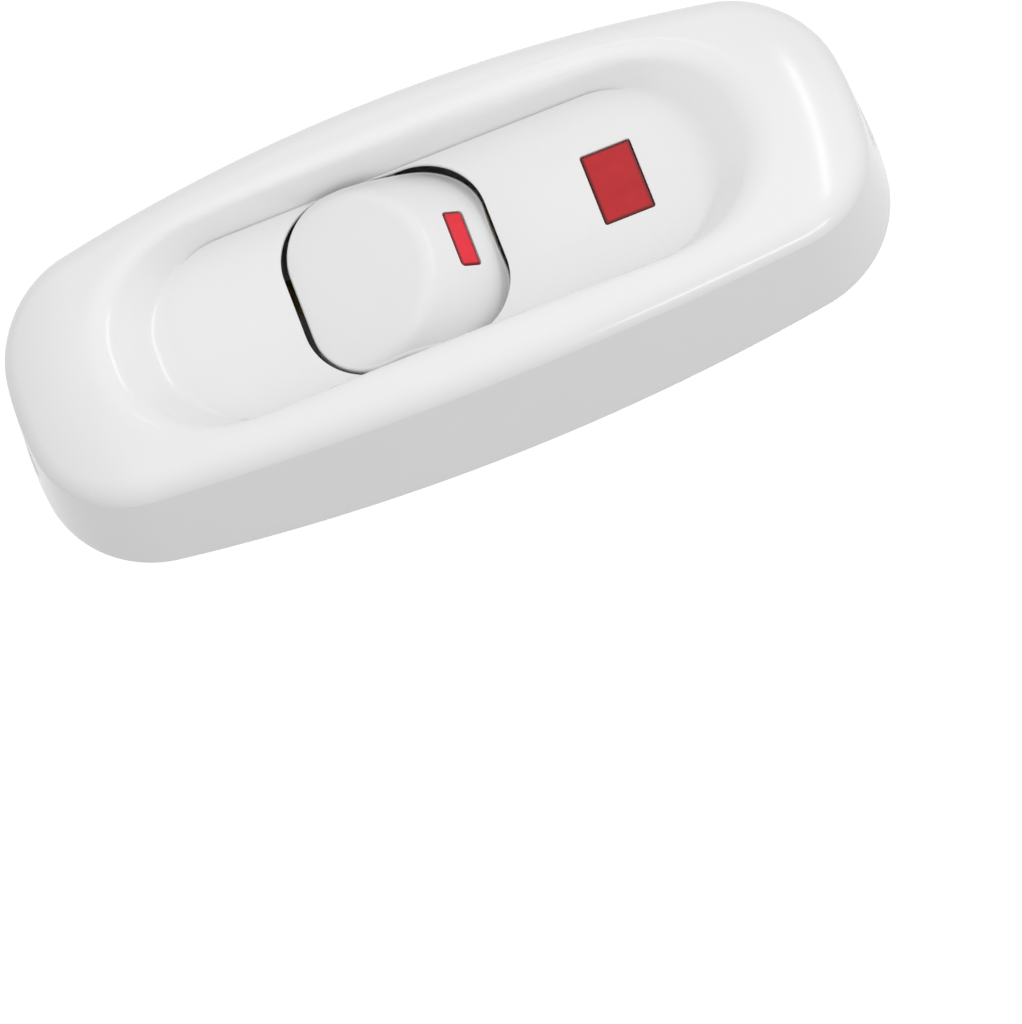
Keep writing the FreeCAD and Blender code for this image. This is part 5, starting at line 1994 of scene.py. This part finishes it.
    def light_world(self) -> None:
        """Light softly from all round, by direction, and show white where the sky itself is seen."""
        world = bpy.data.worlds.new("studio")
        bpy.context.scene.world = world
        world.use_nodes = True
        tree = world.node_tree
        sky = tree.nodes["Background"]
        sky.inputs["Color"].default_value = (1, 1, 1, 1)
        heading = tree.nodes.new("ShaderNodeTexCoord").outputs["Generated"]
        lean = tree.nodes.new("ShaderNodeVectorMath")
        lean.operation = "DOT_PRODUCT"
        lean.inputs[1].default_value = self.sky_lean
        tree.links.new(heading, lean.inputs[0])
        level = tree.nodes.new("ShaderNodeMath")
        level.operation = "ADD"
        level.inputs[1].default_value = self.sky_level
        tree.links.new(lean.outputs["Value"], level.inputs[0])
        strength = tree.nodes.new("ShaderNodeMix")
        strength.inputs["B"].default_value = 1.0
        tree.links.new(self.seen(tree), strength.inputs["Factor"])
        tree.links.new(level.outputs[0], strength.inputs["A"])
        tree.links.new(strength.outputs["Result"], sky.inputs["Strength"])

    def build(self) -> None:
        """Set up the floor, the light and the camera."""
        self.lay_floor()
        self.light_world()
        for softbox in self.lights:
            softbox.hang()
        self.place_camera()
        bpy.context.scene.view_settings.view_transform = "Standard"


def settle(piece: bpy.types.Object, body: Body, slot: Slot, wardrobe: Wardrobe, *nodes: str) -> None:
    """Dress a piece, put it on its body and let it stand for CAD nodes.

    Args:
        piece: Finished mesh object.
        body: Body that it rides on.
        slot: Material slot that it takes.
        wardrobe: Finishes.
        nodes: CAD nodes that it stands for.
    """
    wardrobe.dress(piece, slot)
    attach(piece, body.value)
    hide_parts(*nodes)
    faces = len(piece.data.polygons)
    LOG.info("%s: %d faces, stands for %s", piece.name, faces, ", ".join(nodes))


def dress_nodes(wardrobe: Wardrobe) -> None:
    """Give every CAD node the finish of its own slot.

    Args:
        wardrobe: Finishes.
    """
    slots = {part["node"]: Slot(part["material_slot"]) for part in frame["record"]["subparts"]}
    for name, node in frame["nodes"].items():
        wardrobe.dress(node, slots[name])
        LOG.info("%s: CAD solid in %s", name, slots[name].value)


def main() -> None:
    """Build and dress the switch, then set up the studio."""
    logging.basicConfig(level=logging.INFO, format="%(message)s")
    wardrobe = Wardrobe()
    dress_nodes(wardrobe)
    settle(Cover().build(), Body.CASE, Slot.CASE, wardrobe, "cover")
    rocker = Rocker()
    settle(rocker.build(), Body.ROCKER, Slot.ROCKER, wardrobe, "rocker")
    settle(rocker.build_flag(), Body.ROCKER, Slot.FLAG, wardrobe, "rocker_flag")
    settle(Window().build(), Body.CASE, Slot.LENS, wardrobe, "indicator_lens")
    corners = [f"{hand}_{depth}" for hand in ("left", "right") for depth in ("back", "front")]
    terminals = ("live_in_screw", "live_out_screw", "neutral_screw_left", "neutral_screw_right")
    screw_tree = ScrewTree()
    for screws in (
        Screws("case_screws", tuple(f"case_screw_{corner}" for corner in corners),
               head_radius=2.3, head_height=1.5, shank_radius=1.2, shank_length=7.0,
               slot_length=2.3, crossed=True, overturned=True),
        Screws("clamp_screws", tuple(f"clamp_screw_{corner}" for corner in corners),
               head_radius=2.1, head_height=1.4, shank_radius=1.1, shank_length=6.0,
               slot_length=6.3),
        Screws("terminal_screws", terminals,
               head_radius=2.5, head_height=1.8, shank_radius=1.5, shank_length=2.6,
               slot_length=7.5, tip_length=0.6, thread_pitch=0.6),
    ):
        piece = screws.build(screw_tree, wardrobe.materials[Slot.STEEL])
        settle(piece, Body.CASE, Slot.STEEL, wardrobe, *screws.nodes)
    spring = Spring()
    coil = spring.build(wardrobe.materials[Slot.STEEL])
    settle(coil, Body.ROCKER, Slot.STEEL, wardrobe, "rocker_spring")
    spring.press(coil)
    Studio().build()


if __name__ == "__main__":
    main()
